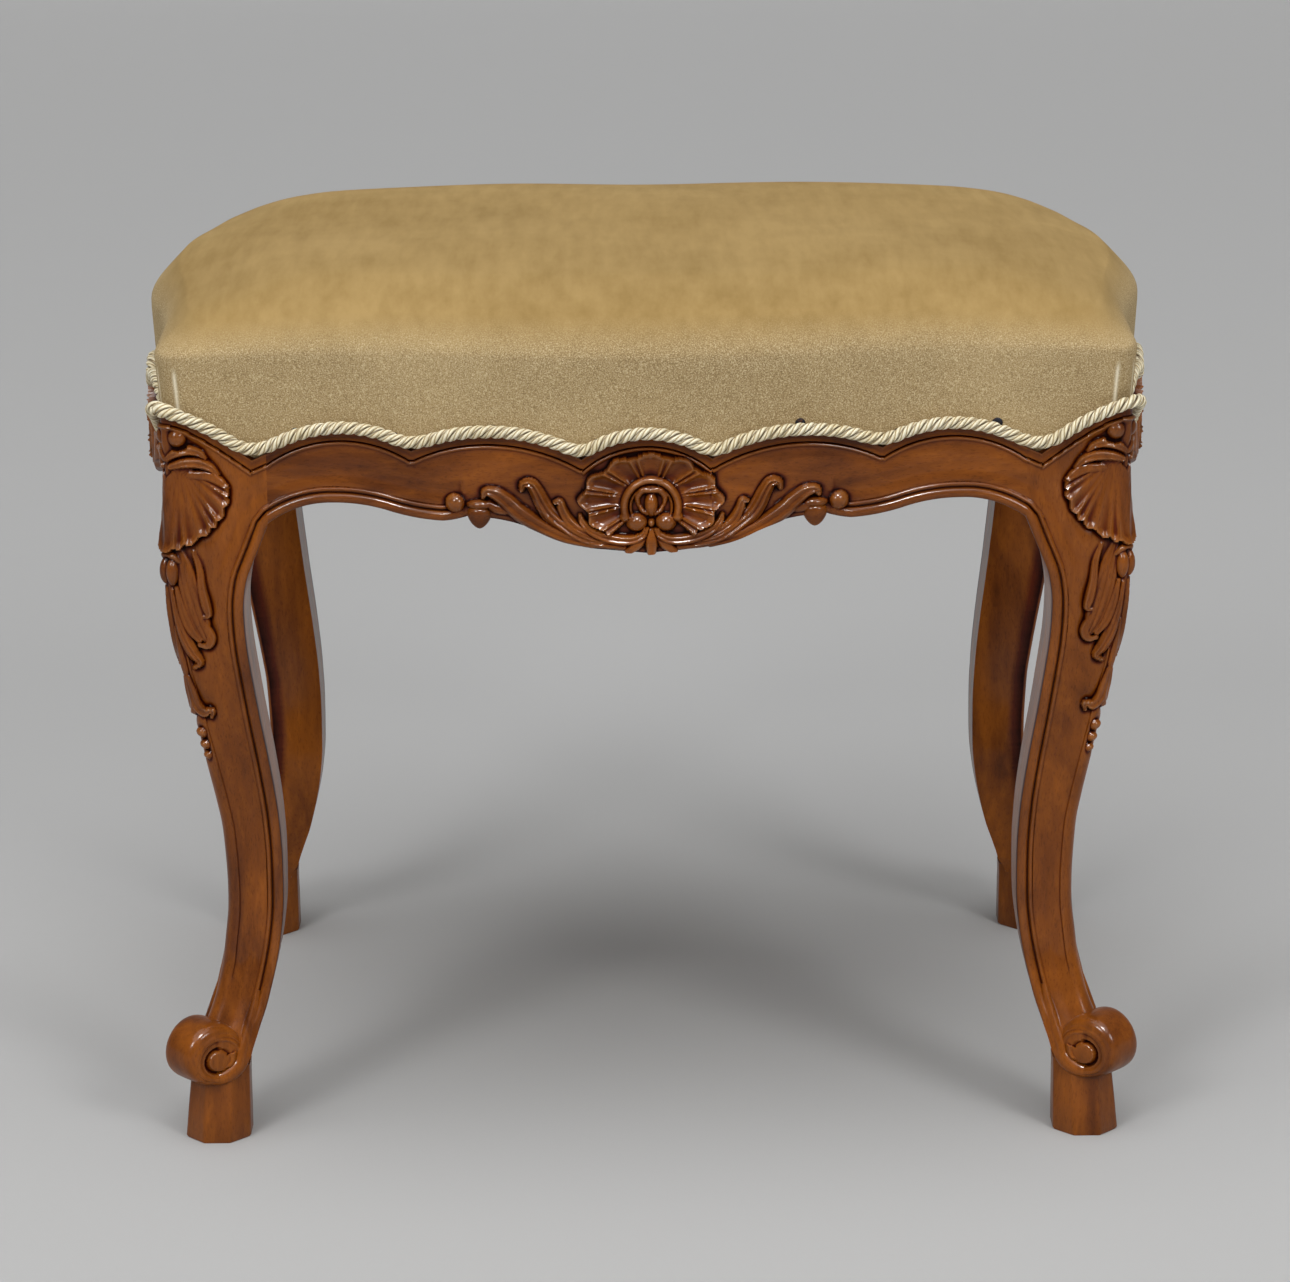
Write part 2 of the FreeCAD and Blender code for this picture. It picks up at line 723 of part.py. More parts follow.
def arc_at(start, via, end, x):
    """The second coordinate at x on the arc through three points."""
    (x1, y1), (x2, y2), (x3, y3) = start, via, end
    twice = 2 * (x1 * (y2 - y3) + x2 * (y3 - y1) + x3 * (y1 - y2))
    s1, s2, s3 = (a * a + b * b for a, b in (start, via, end))
    cx = (s1 * (y2 - y3) + s2 * (y3 - y1) + s3 * (y1 - y2)) / twice
    cy = (s1 * (x3 - x2) + s2 * (x1 - x3) + s3 * (x2 - x1)) / twice
    radius = math.hypot(x1 - cx, y1 - cy)
    lift_off = math.sqrt(max(0, radius ** 2 - (x - cx) ** 2))
    return cy + math.copysign(lift_off, y2 - cy)


def pair(place):
    return value(place[0]), value(place[1])


def scallop_height(x, reach):
    """Top edge of the show wood at a distance along one side of the stool."""
    x = abs(x)
    half = value(reach)
    joint, cusp, via, corner = [(half + value("leg_joint_reach") + a, b)
                                for a, b in map(pair, corner_scallop("0"))]
    if x >= corner[0]:
        return corner[1]
    if x >= cusp[0]:
        return arc_at(cusp, via, corner, x)
    if x >= joint[0]:
        share = (x - joint[0]) / (cusp[0] - joint[0])
        return joint[1] + share * (cusp[1] - joint[1])
    steps = scallop_steps(reach)
    for (_, before), (top, after) in zip(steps, steps[1:]):
        if pair(after)[0] <= x:
            return arc_at(pair(before), pair(top), pair(after), x)
    raise ValueError("no scallop there")


def face_out(x, reach, face, bow):
    """How far out the show wood's face lies at a distance along one side."""
    half, flat, swell = value(reach), value(face), value(bow)
    x = abs(x)
    if x >= half:
        return flat
    via, inflection = ((share * half, flat + bow_share * swell)
                       for share, bow_share in (HOLLOW_VIA_SHARES, INFLECTION_SHARES))
    if x >= inflection[0]:
        return arc_at((half, flat), via, inflection, x)
    return arc_at(inflection, (0, flat + swell), (-inflection[0], inflection[1]), x)


def skin_out(height):
    """How far the cover's outside lies out from the show wood's face, drawn in or swelling."""
    lean = value("bulge_swell / (bulge_height - hem_height)")
    return value("cover_gap + cover_thickness - tack_rebate") + lean * (height - value("hem_height"))


# Each side of the stool: turn about +Z from the back, half length, face and bow
STOOL_SIDES = (
    (0, LONG_REACH, LONG_FACE, "long_bow"),
    (90, SHORT_REACH, SHORT_FACE, "short_bow"),
    (180, LONG_REACH, LONG_FACE, "long_bow"),
    (270, SHORT_REACH, SHORT_FACE, "short_bow"),
)


def loose_solid(name, shape):
    thing = doc.addObject("Part::Feature", name)
    thing.Shape = shape
    return thing


def ring(sides, radius):
    """Closed regular polygon round the origin, its corners this far out."""
    turn = Rotation(Vector(0, 0, 1), 360 / sides)
    points = [Vector(radius, 0, 0)]
    for _ in range(sides):
        points.append(turn.multVec(points[-1]))
    return Part.makePolygon(points[:-1] + points[:1])


def tack_shape():
    """Cut tack pointing up +Z from under its head, which lies below the origin."""
    head = value("tack_head_thickness")
    half = value("tack_shank") / 2
    length = value("tack_length")
    plate = Part.Face(ring(TACK_HEAD_SIDES, value("tack_head_radius"))).extrude(Vector(0, 0, head))
    plate.translate(Vector(0, 0, -head))
    root = [Vector(half, half, 0), Vector(-half, half, 0), Vector(-half, -half, 0), Vector(half, -half, 0)]
    foot = Part.makePolygon(root + root[:1])
    tip = [Vector(TACK_TIP_SHARE * corner.x, TACK_TIP_SHARE * corner.y, length) for corner in root]
    shank = Part.makeLoft([foot, Part.makePolygon(tip + tip[:1])], True, True)
    return plate.fuse(shank).removeSplitter()


def make_webbing_tacks(straps):
    """Two tacks through each end of every strap, into the rail's top."""
    tack = tack_shape()
    spread = value("tack_spread") / 2
    tacks = []
    for along_x, offset, end in straps:
        for side in (-1, 1):
            for shift in (-spread, spread):
                place = (side * end, offset + shift) if along_x else (offset + shift, side * end)
                copy = tack.copy()
                top = value("frame_height + web_thickness")
                copy.Placement = Placement(Vector(place[0], place[1], top), Rotation(Vector(1, 0, 0), 180))
                tacks.append(copy)
    return loose_solid("webbing_tacks", Part.makeCompound(tacks))


def make_cover_tacks():
    """Tacks through the cover's hem into the rails, hidden under the cord."""
    tack = tack_shape()
    tacks = []
    for turn, reach, face, bow in STOOL_SIDES:
        shares = LONG_TACK_SHARES if turn % 180 == 0 else SHORT_TACK_SHARES
        for share in shares:
            x = share * value(reach)
            run = SLOPE_SHARE * value(reach)
            climb = face_out(x + run, reach, face, bow) - face_out(x - run, reach, face, bow)
            slope = math.degrees(math.atan2(climb, 2 * run))
            height = scallop_height(x, reach) + value("tack_rise")
            out = face_out(x, reach, face, bow) + skin_out(height) - value("tack_head_thickness")
            lean = Rotation(Vector(0, 0, 1), slope).multiply(Rotation(Vector(1, 0, 0), 90))
            copy = tack.copy()
            copy.Placement = Placement(Vector(x, out, height), lean)
            copy.rotate(Vector(0, 0, 0), Vector(0, 0, 1), turn)
            tacks.append(copy)
    return loose_solid("cover_tacks", Part.makeCompound(tacks))


WEB_OVER = "(frame_height + web_thickness + web_gap)"
WEB_UNDER = "(frame_height - web_gap - web_thickness)"


def make_long_strap(number, offset):
    """Strap from left to right, flat on the side rails."""
    strap = doc.addObject("Part::Box", "long_strap_%d" % number)
    end = "(%s - web_end_setback)" % SHORT_FACE
    bind(strap, Length="2 * " + end, Width="web_width", Height="web_thickness")
    bind(strap, **{
        "Placement.Base.x": "-1 * " + end,
        "Placement.Base.y": "%s - web_width / 2" % offset,
        "Placement.Base.z": "frame_height",
    })
    return strap


def make_cross_strap(number, offset, first_over):
    """Strap from front to back, woven over and under the long ones."""
    sketch = doc.addObject("Sketcher::SketchObject", "cross_strap_side_%d" % number)
    sketch.Placement = Placement(Vector(0, 0, 0), Rotation(Vector(1, 1, 1), 120))
    sketch.setExpression("Placement.Base.x", linked(offset))
    end = "(%s - web_end_setback)" % LONG_FACE
    landing = "(web_long_pitch + web_width / 2 + web_slope)"
    near = "(web_long_pitch - web_width / 2 - web_gap)"
    far = "(web_long_pitch + web_width / 2 + web_gap)"
    inner = "(web_width / 2 + web_gap)"
    outer_level, middle_level = (WEB_OVER, WEB_UNDER) if first_over else (WEB_UNDER, WEB_OVER)
    half = [(end, "frame_height"), (landing, "frame_height"), (far, outer_level), (near, outer_level),
            (inner, middle_level)]
    bottom = half + [("-1 * " + y, z) for y, z in reversed(half)]
    top = [(y, "%s + web_thickness" % z) for y, z in reversed(bottom)]
    outline(sketch, bottom[0], bottom[1:] + top + bottom[:1])
    return extrude("cross_strap_%d" % number, sketch, Vector(1, 0, 0), "web_width / 2", "web_width / 2")


def seat_line(height, grow, size_share=1):
    """Corners of a closed line round the stool, grown from the faces of the show wood."""
    fold = value("pleat_facet")
    corners = []
    for turn, reach, face, bow in STOOL_SIDES:
        half = value(reach)
        other_face = value(SHORT_FACE if turn % 180 == 0 else LONG_FACE) + grow
        run = [other_face - fold]
        run += [step / SIDE_STEPS * half for step in range(SIDE_STEPS, -SIDE_STEPS - 1, -1)]
        run.append(fold - other_face)
        rotation = Rotation(Vector(0, 0, 1), turn)
        for x in run:
            place = rotation.multVec(Vector(x, face_out(x, reach, face, bow) + grow, 0)) * size_share
            corners.append(place + Vector(0, 0, height))
    return corners


def cushion(name, skin, base):
    """Crowned seat with drawn-in sides, its outside this far from the tacking faces."""
    hem = value("%s - tack_rebate" % skin)
    depth = value("cover_gap + cover_thickness - %s" % skin)
    base_share = max(0, value("(%s - hem_height) / (bulge_height - hem_height)" % base))
    edge = hem - value("edge_draw")
    edge_height, crown_height = value("edge_height") - depth, value("crown_height") - depth
    lines = [
        seat_line(value(base), hem + base_share * value("bulge_swell")),
        seat_line(value("bulge_height"), hem + value("bulge_swell")),
        seat_line(edge_height, edge),
    ]
    for rise, size_share in CROWN_SHARES:
        height = edge_height + rise * (crown_height - edge_height)
        lines.append(seat_line(height, edge, size_share))
    faces = [Part.Face(Part.makePolygon(line + line[:1])) for line in (lines[0], lines[-1])]
    for low, high in zip(lines, lines[1:]):
        for side in range(len(low)):
            strip = [low[side - 1], low[side], high[side], high[side - 1], low[side - 1]]
            faces.append(Part.Face(Part.makePolygon(strip)))
    return loose_solid(name, Part.makeSolid(Part.makeShell(faces)))


def stool_scallops(reach, rise):
    """The whole scalloped line along one side of the stool, from right corner to left."""
    def moved(place, side):
        return "%d * (%s + leg_joint_reach + %s)" % (side, reach, place[0]), place[1]

    joint, cusp, via, corner = corner_scallop("-1 * (%s)" % rise)
    steps = [(None, moved(corner, 1)), (moved(via, 1), moved(cusp, 1)), (None, moved(joint, 1))]
    steps += scallop_steps(reach, rise)[1:]
    steps += [(None, moved(cusp, -1)), (moved(via, -1), moved(corner, -1))]
    return steps


def hem_cutter(name, reach, face, other_face, turn):
    """Everything under the scallops along one side, to trim the cover's hem."""
    steps = stool_scallops(reach, "cover_gap")
    right = "(%s + outline_overrun)" % other_face
    level = steps[0][1][1]
    bottom = "(hem_height - outline_overrun)"
    corners = [("-1 * " + right, level), ("-1 * " + right, bottom), (right, bottom), (right, level)]
    steps += [(None, corner) for corner in corners + [steps[0][1]]]
    line = outline(free_sketch(name + "_line", "XZ"), steps[0][1], flat_steps(steps[1:]))
    inner = "(%s - pleat_facet - tack_rebate)" % face
    bind(line, **{"Placement.Base.y": inner})
    cutter = extrude(name, line, Vector(0, 1, 0), "pleat_facet + tack_rebate + long_bow + outline_overrun")
    cutter.Placement = Placement(Vector(0, 0, 0), Rotation(Vector(0, 0, 1), turn))
    return cutter


def cord_route():
    """Bend points of the cord, once round the stool from the front left corner."""
    radius, rise = value("cord_radius"), value("cord_rise")
    corner_stand = skin_out(value("scallop_corner_height + cord_rise + cord_radius"))
    corner_stand += value("cord_gap + cord_radius")
    fold = value("pleat_facet") - corner_stand * math.tan(math.radians(22.5))
    points = []
    for turn, reach, face, bow in STOOL_SIDES[2:] + STOOL_SIDES[:2]:
        half = value(reach)
        cusp = half + value("scallop_cusp_shift")
        other_face = value(SHORT_FACE if turn % 180 == 0 else LONG_FACE)
        corner = other_face + corner_stand - fold
        run = [share * half for share in CORD_RAIL_SHARES]
        run += [cusp + share * (corner - cusp) for share in CORD_CORNER_SHARES]
        rotation = Rotation(Vector(0, 0, 1), turn)
        for x in [x for x in reversed(run)] + [-x for x in run[1:]]:
            height = scallop_height(x, reach) + rise
            stand = skin_out(height + radius) + value("cord_gap") + radius
            place = Vector(x, face_out(x, reach, face, bow) + stand, height)
            points.append(rotation.multVec(place))
    return points


def rounded_wire(points):
    """Straight runs through the points, joined by arcs as large as the runs allow."""
    edges = []
    radii = []
    here = points[0]
    for before, corner, after in zip(points, points[1:], points[2:]):
        into = (corner - before).normalize()
        out = (after - corner).normalize()
        half_turn = into.getAngle(out) / 2
        trim = 0.45 * min((corner - before).Length, (after - corner).Length)
        radii.append(trim / math.tan(half_turn))
        start, end = corner - into * trim, corner + out * trim
        bisector = (out - into).normalize()
        middle = corner + bisector * (radii[-1] / math.cos(half_turn) - radii[-1])
        edges.append(Part.LineSegment(here, start).toShape())
        edges.append(Part.Arc(start, middle, end).toShape())
        here = end
    edges.append(Part.LineSegment(here, points[-1]).toShape())
    print("cord bends: %d, radii from %.1f to %.1f mm" % (len(radii), min(radii), max(radii)))
    return Part.Wire(edges)


def make_cord():
    """Trim cord along the cover's hem; its ends meet on the front left corner."""
    points = cord_route()
    middle = (points[0] + points[-1]) * 0.5
    gap = (points[0] - middle).normalize() * (value("cord_end_gap") / 2)
    wire = rounded_wire([middle + gap] + points + [middle - gap])
    radius = value("cord_radius")
    section = ring(CORD_SIDES, radius)
    section.Placement = Placement(middle + gap, Rotation(Vector(0, 0, 1), gap))
    cord = wire.makePipeShell([section], True, False)
    plain = Part.Face(section).Area * wire.Length
    print("cord: %.0f mm long, volume %.4f of section times length" % (wire.Length, cord.Volume / plain))
    return loose_solid("trim_cord", cord)


HESSIAN_BASE = "(frame_height + 2 * web_thickness + 2 * web_gap)"
STUFFING_BASE = "(frame_height + 2 * web_thickness + 3 * web_gap + hessian_thickness)"
LONG_STRAP_OFFSETS = ("-1 * web_long_pitch", "0", "web_long_pitch")
CROSS_STRAP_OFFSETS = ("-1.5 * web_cross_pitch", "-0.5 * web_cross_pitch", "0.5 * web_cross_pitch",
                       "1.5 * web_cross_pitch")


def make_seat():
    """Webbing, hessian, stuffing, cover and the tacks that hold them."""
    long_end = value("%s + tack_inset" % BLOCK_X)
    cross_end = value("%s + tack_inset" % BLOCK_Y)
    ends = [(True, value(offset), long_end) for offset in LONG_STRAP_OFFSETS]
    ends += [(False, value(offset), cross_end) for offset in CROSS_STRAP_OFFSETS]
    web_tacks = make_webbing_tacks(ends)
    cover_tacks = make_cover_tacks()
    straps = [make_long_strap(number, offset) for number, offset in enumerate(LONG_STRAP_OFFSETS)]
    straps += [make_cross_strap(number, offset, number % 2 == 0)
               for number, offset in enumerate(CROSS_STRAP_OFFSETS)]
    pieces = [boolean("Cut", strap.Name.replace("strap", "webbing"), strap, web_tacks) for strap in straps]
    inset = -value("tack_rebate + hessian_inset")
    edge = seat_line(value(HESSIAN_BASE), inset)
    cloth = Part.Face(Part.makePolygon(edge + edge[:1]))
    hessian = loose_solid("hessian_sheet", cloth.extrude(Vector(0, 0, value("hessian_thickness"))))
    stuffing = cushion("stuffing_pad", "0", STUFFING_BASE)
    outside = cushion("cover_outside", "(cover_gap + cover_thickness)", "hem_height")
    inside = cushion("cover_inside", "cover_gap", "(hem_height - outline_overrun)")
    cutters = []
    for turn, reach, face, bow in STOOL_SIDES:
        other_face = SHORT_FACE if turn % 180 == 0 else LONG_FACE
        cutters.append(hem_cutter("hem_line_%d" % turn, reach, face, other_face, turn))
    shell = boolean("Cut", "cover_shell", outside, boolean("Fuse", "cover_void", inside, *cutters))
    cover = boolean("Cut", "velvet_cover", shell, cover_tacks)
    return pieces + [hessian, stuffing, cover, web_tacks, cover_tacks]


def make_frame(web_tacks, cover_tacks):
    """Legs, rails and corner blocks, each drawn once and mirrored to the other corners."""
    across, over = Vector(1, 0, 0), Vector(0, 1, 0)
    leg = make_leg()
    right_front = mirrored("front_right_leg", leg, over)
    legs = [leg, right_front, mirrored("back_left_leg", leg, across)]
    legs.append(mirrored("front_left_leg", right_front, across))
    long_wood = make_rail("back_rail", LONG_REACH, LONG_FACE, "long_bow", True)
    short_wood = make_rail("right_rail", SHORT_REACH, SHORT_FACE, "short_bow", False)
    short_wood.Placement = Placement(Vector(0, 0, 0), Rotation(Vector(0, 0, 1), -90))
    tacks = boolean("Fuse", "all_tacks", web_tacks, cover_tacks)
    back = boolean("Cut", "back_rail", long_wood, tacks)
    right = boolean("Cut", "right_rail", short_wood, tacks)
    rails = [back, right, mirrored("front_rail", back, over), mirrored("left_rail", right, across)]
    block = make_corner_block()
    front_block = mirrored("front_right_corner_block", block, over)
    blocks = [block, front_block, mirrored("back_left_corner_block", block, across)]
    blocks.append(mirrored("front_left_corner_block", front_block, across))
    return legs + rails + blocks


def check(nodes):
    """Stops before anything is written if the model has a fault."""
    for thing in doc.Objects:
        if "Invalid" in thing.State or "Error" in thing.State:
            raise RuntimeError("%s failed: %s" % (thing.Label, thing.getStatusString()))
    for node in nodes:
        shape = node.Shape
        if shape.isNull() or not shape.isValid() or not shape.Solids:
            raise RuntimeError("%s has no valid solid" % node.Label)


def main():
    seat = make_seat()
    frame = make_frame(seat[-2], seat[-1])
    nodes = frame + seat + [make_cord()]
    doc.recompute()
    check(nodes)
    os.makedirs("parts", exist_ok=True)
    for node in nodes:
        node.Shape.exportStep("parts/%s.step" % node.Label)
        print("%-26s %3d solids %10.0f mm3" % (node.Label, len(node.Shape.Solids), node.Shape.Volume))


main()
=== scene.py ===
import math

import bpy
import numpy as np
from mathutils import Matrix, Vector


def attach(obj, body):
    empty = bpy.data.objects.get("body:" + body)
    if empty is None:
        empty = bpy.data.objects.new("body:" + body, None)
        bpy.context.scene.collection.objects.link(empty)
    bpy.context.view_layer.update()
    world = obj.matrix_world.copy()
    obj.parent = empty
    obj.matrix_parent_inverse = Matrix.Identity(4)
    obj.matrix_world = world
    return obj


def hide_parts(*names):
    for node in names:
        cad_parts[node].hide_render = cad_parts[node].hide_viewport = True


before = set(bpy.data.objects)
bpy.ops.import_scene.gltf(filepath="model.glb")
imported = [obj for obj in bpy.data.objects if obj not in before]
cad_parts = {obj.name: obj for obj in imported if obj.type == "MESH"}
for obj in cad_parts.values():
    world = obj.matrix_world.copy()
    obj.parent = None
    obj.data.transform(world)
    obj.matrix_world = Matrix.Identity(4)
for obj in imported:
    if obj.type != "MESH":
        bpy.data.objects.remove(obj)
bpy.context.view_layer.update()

# A carved cabriole stool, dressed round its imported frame.
# Sizes here are millimetres in the frame's own axes; a mesh is turned to metres when it is made.
# A side of the stool is worked out as if it were the back one: x along it, y outwards, z up.
MM = 0.001

# Sizes that the carving and the seat share with the frame
LEG_X, LEG_Y = 232.0, 163.0
FACE_REACH, JOINT_REACH = 16.4, 38.4
FRAME_TOP, SHOULDER, CORNER_ROUND = 405.0, 340.0, 7.0
REBATE, RAIL_THICK, PLEAT_FACET = 3.5, 22.0, 10.6
LONG_HALF, SHORT_HALF = LEG_X - JOINT_REACH, LEG_Y - JOINT_REACH
LONG_FACE, SHORT_FACE = LEG_Y + FACE_REACH, LEG_X + FACE_REACH
LONG_BOW, SHORT_BOW = 21.0, 19.0
CREST, MIDDLE = 350.8, 329.5
# The scalloped edge: how far past a joint its last cusp lies, and how far it is drawn down on the rails
CUSP_REACH, TRIM_DROP = 7.4, 4.0
# Its arches' top, the cusps between them from the middle outwards, and its height at the corner
ARCH_TOP, CUSPS, CORNER_TOP = 392.0, (380.5, 382.5, 380.4, 377.0), 396.5
# The cover's side: mean height of its hem, height where it is widest and how much it leans out between them
HEM, BULGE, LEAN = 371, 424, 3.0
# The moulding of the lower edge ends this far from it, the lip of the upper one this far below it
FIELD, LIP_END = 8.4, 6.6
# Height of a carved form where it isn't, well below any ground, and the mark of plain wood
NOWHERE, PLAIN = -99.0, 0.5

# Name, turn about +Z, half length between the legs, face, bow, and the middle of its carving
SIDES = (
    ("back", 0, LONG_HALF, LONG_FACE, LONG_BOW, 0.0),
    ("left", 90, SHORT_HALF, SHORT_FACE, SHORT_BOW, 0.0),
    ("front", 180, LONG_HALF, LONG_FACE, LONG_BOW, -2.0),
    ("right", 270, SHORT_HALF, SHORT_FACE, SHORT_BOW, 0.0),
)

# Leg's outer and inner faces from the middle of its foot: height, reach
OUTER_LINE = ((20, 15.3), (33, 13.8), (47, 11.0), (60, 6.2), (74, 1.0), (81, -0.9), (94, -3.9), (108, -5.7),
              (121, -7.2), (134, -7.6), (148, -7.3), (168, -6.1), (181, -4.2), (194, -1.9), (207, 0.6),
              (220, 3.2), (233, 5.7), (246, 8.4), (259, 10.9), (272, 13.3), (285, 15.3), (298, 16.8),
              (310, 17.5), (323, 17.2), (345, 16.4), (375, 16.4), (405, 16.4))
INNER_LINE = ((20, -17.8), (33, -17.2), (47, -19.2), (60, -23.3), (74, -28.1), (94, -33.0), (108, -35.5),
              (121, -37.0), (134, -37.5), (154, -37.6), (168, -37.0), (181, -36.1), (194, -34.7),
              (207, -33.1), (220, -31.3), (233, -29.5), (246, -27.9), (259, -26.3), (272, -24.9),
              (285, -24.2), (298, -24.4), (310, -26.4), (318, -29.4), (326, -32.8), (333, -35.6),
              (340, -38.4))

# Distances from the wood's edge at which the moulding is drawn
MOULD_STEPS = np.array([0, .25, .6, 1.1, 1.7, 2.3, 2.9, 3.5, 4.1, 4.6, 5.0, 5.25, 5.5, 5.75, 6.0, 6.2, 6.5,
                        6.9, 7.3, 7.7, 8.1, 8.4, 8.7, 9.2, 10.0, 11.0])
LIP_STEPS = np.array([0, .5, 1.0, 1.6, 2.3, 3.0, 3.7, 4.4, 4.9, 5.2, 5.5, 5.8, 6.1, 6.5, 6.9, 7.3, 8.0, 9.0])


def smooth(low, high, x):
    """Smoothstep: 0 below low, 1 above high, and an S between them."""
    t = np.clip((x - low) / (high - low), 0, 1)
    return t * t * (3 - 2 * t)


def arc(a, b, c, count):
    """Points on the circle through three points, from the first to the last."""
    (x1, y1), (x2, y2), (x3, y3) = a, b, c
    twice = 2 * (x1 * (y2 - y3) + x2 * (y3 - y1) + x3 * (y1 - y2))
    s1, s2, s3 = (p * p + q * q for p, q in (a, b, c))
    cx = (s1 * (y2 - y3) + s2 * (y3 - y1) + s3 * (y1 - y2)) / twice
    cy = (s1 * (x3 - x2) + s2 * (x1 - x3) + s3 * (x2 - x1)) / twice
    radius = math.hypot(x1 - cx, y1 - cy)
    first, via, last = (math.atan2(y - cy, x - cx) for x, y in (a, b, c))
    turn = (last - first) % math.tau
    if (via - first) % math.tau > turn:
        turn -= math.tau
    angles = first + np.linspace(0, 1, count) * turn
    return np.stack([cx + radius * np.cos(angles), cy + radius * np.sin(angles)], 1)


def arcs(start, steps, count):
    """Arcs and straight runs as one polyline; a step is (via, end), with None as via where it is straight."""
    parts = [np.array([start])]
    for via, end in steps:
        here = tuple(parts[-1][-1])
        parts.append(arc(here, via, end, count)[1:] if via else np.array([end]))
    return np.vstack(parts)


def spline(points, count):
    """Smooth open curve through points (rows of any width): Catmull-Rom, by even steps of its parameter."""
    points = np.asarray(points, float)
    padded = np.vstack([2 * points[0] - points[1], points, 2 * points[-1] - points[-2]])
    u = np.linspace(0, len(points) - 1, count)
    k = np.minimum(u.astype(int), len(points) - 2)
    t = (u - k)[:, None]
    a, b, c, d = (padded[k + n] for n in range(4))
    return 0.5 * (2 * b + (c - a) * t + (2 * a - 5 * b + 4 * c - d) * t ** 2
                  + (3 * b - 3 * c + d - a) * t ** 3)


def evenly(line, count, measured=3):
    """A polyline's rows by even steps of its length, which its first columns give, and those lengths."""
    run = np.concatenate([[0], np.cumsum(np.linalg.norm(np.diff(line[:, :measured], axis=0), axis=1))])
    where = np.linspace(0, run[-1], count)
    return np.stack([np.interp(where, run, column) for column in line.T], 1), where


def even_spline(points, count):
    """The same curve by even steps of its length in the first two columns."""
    return evenly(spline(points, 12 * count), count, 2)[0]


def unit(vectors):
    """Rows with a length of one."""
    return vectors / np.maximum(np.linalg.norm(vectors, axis=1, keepdims=True), 1e-6)


def frames(line):
    """Two directions square to a path at each of its points, the first one level."""
    way = unit(np.gradient(line, axis=0))
    side = unit(np.cross(way, (0, 0, 1.0)))
    return side, np.cross(side, way)


def round_angles(count):
    """Angles once round a circle."""
    return np.linspace(0, math.tau, count, endpoint=False)


def at_level(plan, level):
    """Points of a plan (x, y) at a height, or each at its own."""
    return np.column_stack([plan, np.broadcast_to(level, len(plan))])


def nearest(x, z, line):
    """For each place its distance to a polyline, the same signed by its side, and how far along, 0 to 1."""
    best = np.full(x.shape, 1e9)
    side = np.zeros(x.shape)
    share = np.zeros(x.shape)
    steps = len(line) - 1
    for number in range(steps):
        (ax, az), (bx, bz) = line[number, :2], line[number + 1, :2]
        dx, dz = bx - ax, bz - az
        t = np.clip(((x - ax) * dx + (z - az) * dz) / max(dx * dx + dz * dz, 1e-9), 0, 1)
        ox, oz = x - ax - t * dx, z - az - t * dz
        gap = ox * ox + oz * oz
        nearer = gap < best
        best = np.where(nearer, gap, best)
        side = np.where(nearer, dx * oz - dz * ox, side)
        share = np.where(nearer, (number + t) / steps, share)
    gap = np.sqrt(best)
    return gap, np.where(side < 0, -gap, gap), share


def grid_faces(rows, columns, wrap_rows=False, wrap_columns=False, flip=False):
    """Quads between the points of a grid stored row after row."""
    r, c = np.meshgrid(np.arange(rows if wrap_rows else rows - 1),
                       np.arange(columns if wrap_columns else columns - 1), indexing="ij")
    up, across = (r + 1) % rows, (c + 1) % columns
    quads = np.stack([r * columns + c, r * columns + across, up * columns + across, up * columns + c], -1)
    quads = quads.reshape(-1, 4)
    return quads[:, ::-1] if flip else quads


def tube_faces(rows, columns, flip=False):
    """Wall and two end faces of a tube whose rings are stored one after another."""
    first = np.arange(columns)[None, ::1 if flip else -1]
    return [grid_faces(rows, columns, wrap_columns=True, flip=flip), first,
            first[:, ::-1] + (rows - 1) * columns]


def blurred(field, passes):
    """Repeated averaging with the four neighbours."""
    for _ in range(passes):
        padded = np.pad(field, 1, mode="edge")
        field = (padded[:-2, 1:-1] + padded[2:, 1:-1] + padded[1:-1, :-2] + padded[1:-1, 2:] + 4 * field) / 8
    return field


# The walnut finish paints shade in low places and a highlight on edges from this mark
def hollows(height):
    """How high a carved place stands over what is round it: 0 in a deep hollow, 0.5 level, 1 on an edge."""
    near, wide = height - blurred(height, 10), height - blurred(height, 60)
    return np.clip(0.5 + 0.45 * near + 0.13 * wide, 0, 1)


def turned(points, degrees):
    """Points turned about +Z."""
    a = math.radians(degrees)
    x, y, z = np.moveaxis(np.asarray(points, float), -1, 0)
    return np.stack([x * math.cos(a) - y * math.sin(a), x * math.sin(a) + y * math.cos(a), z], -1)


def joined(parts):
    """Several closed forms as one mesh; a form is its points, its lists of faces and its hollows."""
    points, faces, marks, start = [], [], [], 0
    for part_points, part_faces, part_marks in parts:
        part_points = np.asarray(part_points).reshape(-1, 3)
        points.append(part_points)
        faces += [np.asarray(group) + start for group in part_faces]
        marks.append(np.broadcast_to(np.asarray(part_marks, float).ravel(), len(part_points)))
        start += len(part_points)
    return np.vstack(points), faces, np.concatenate(marks)


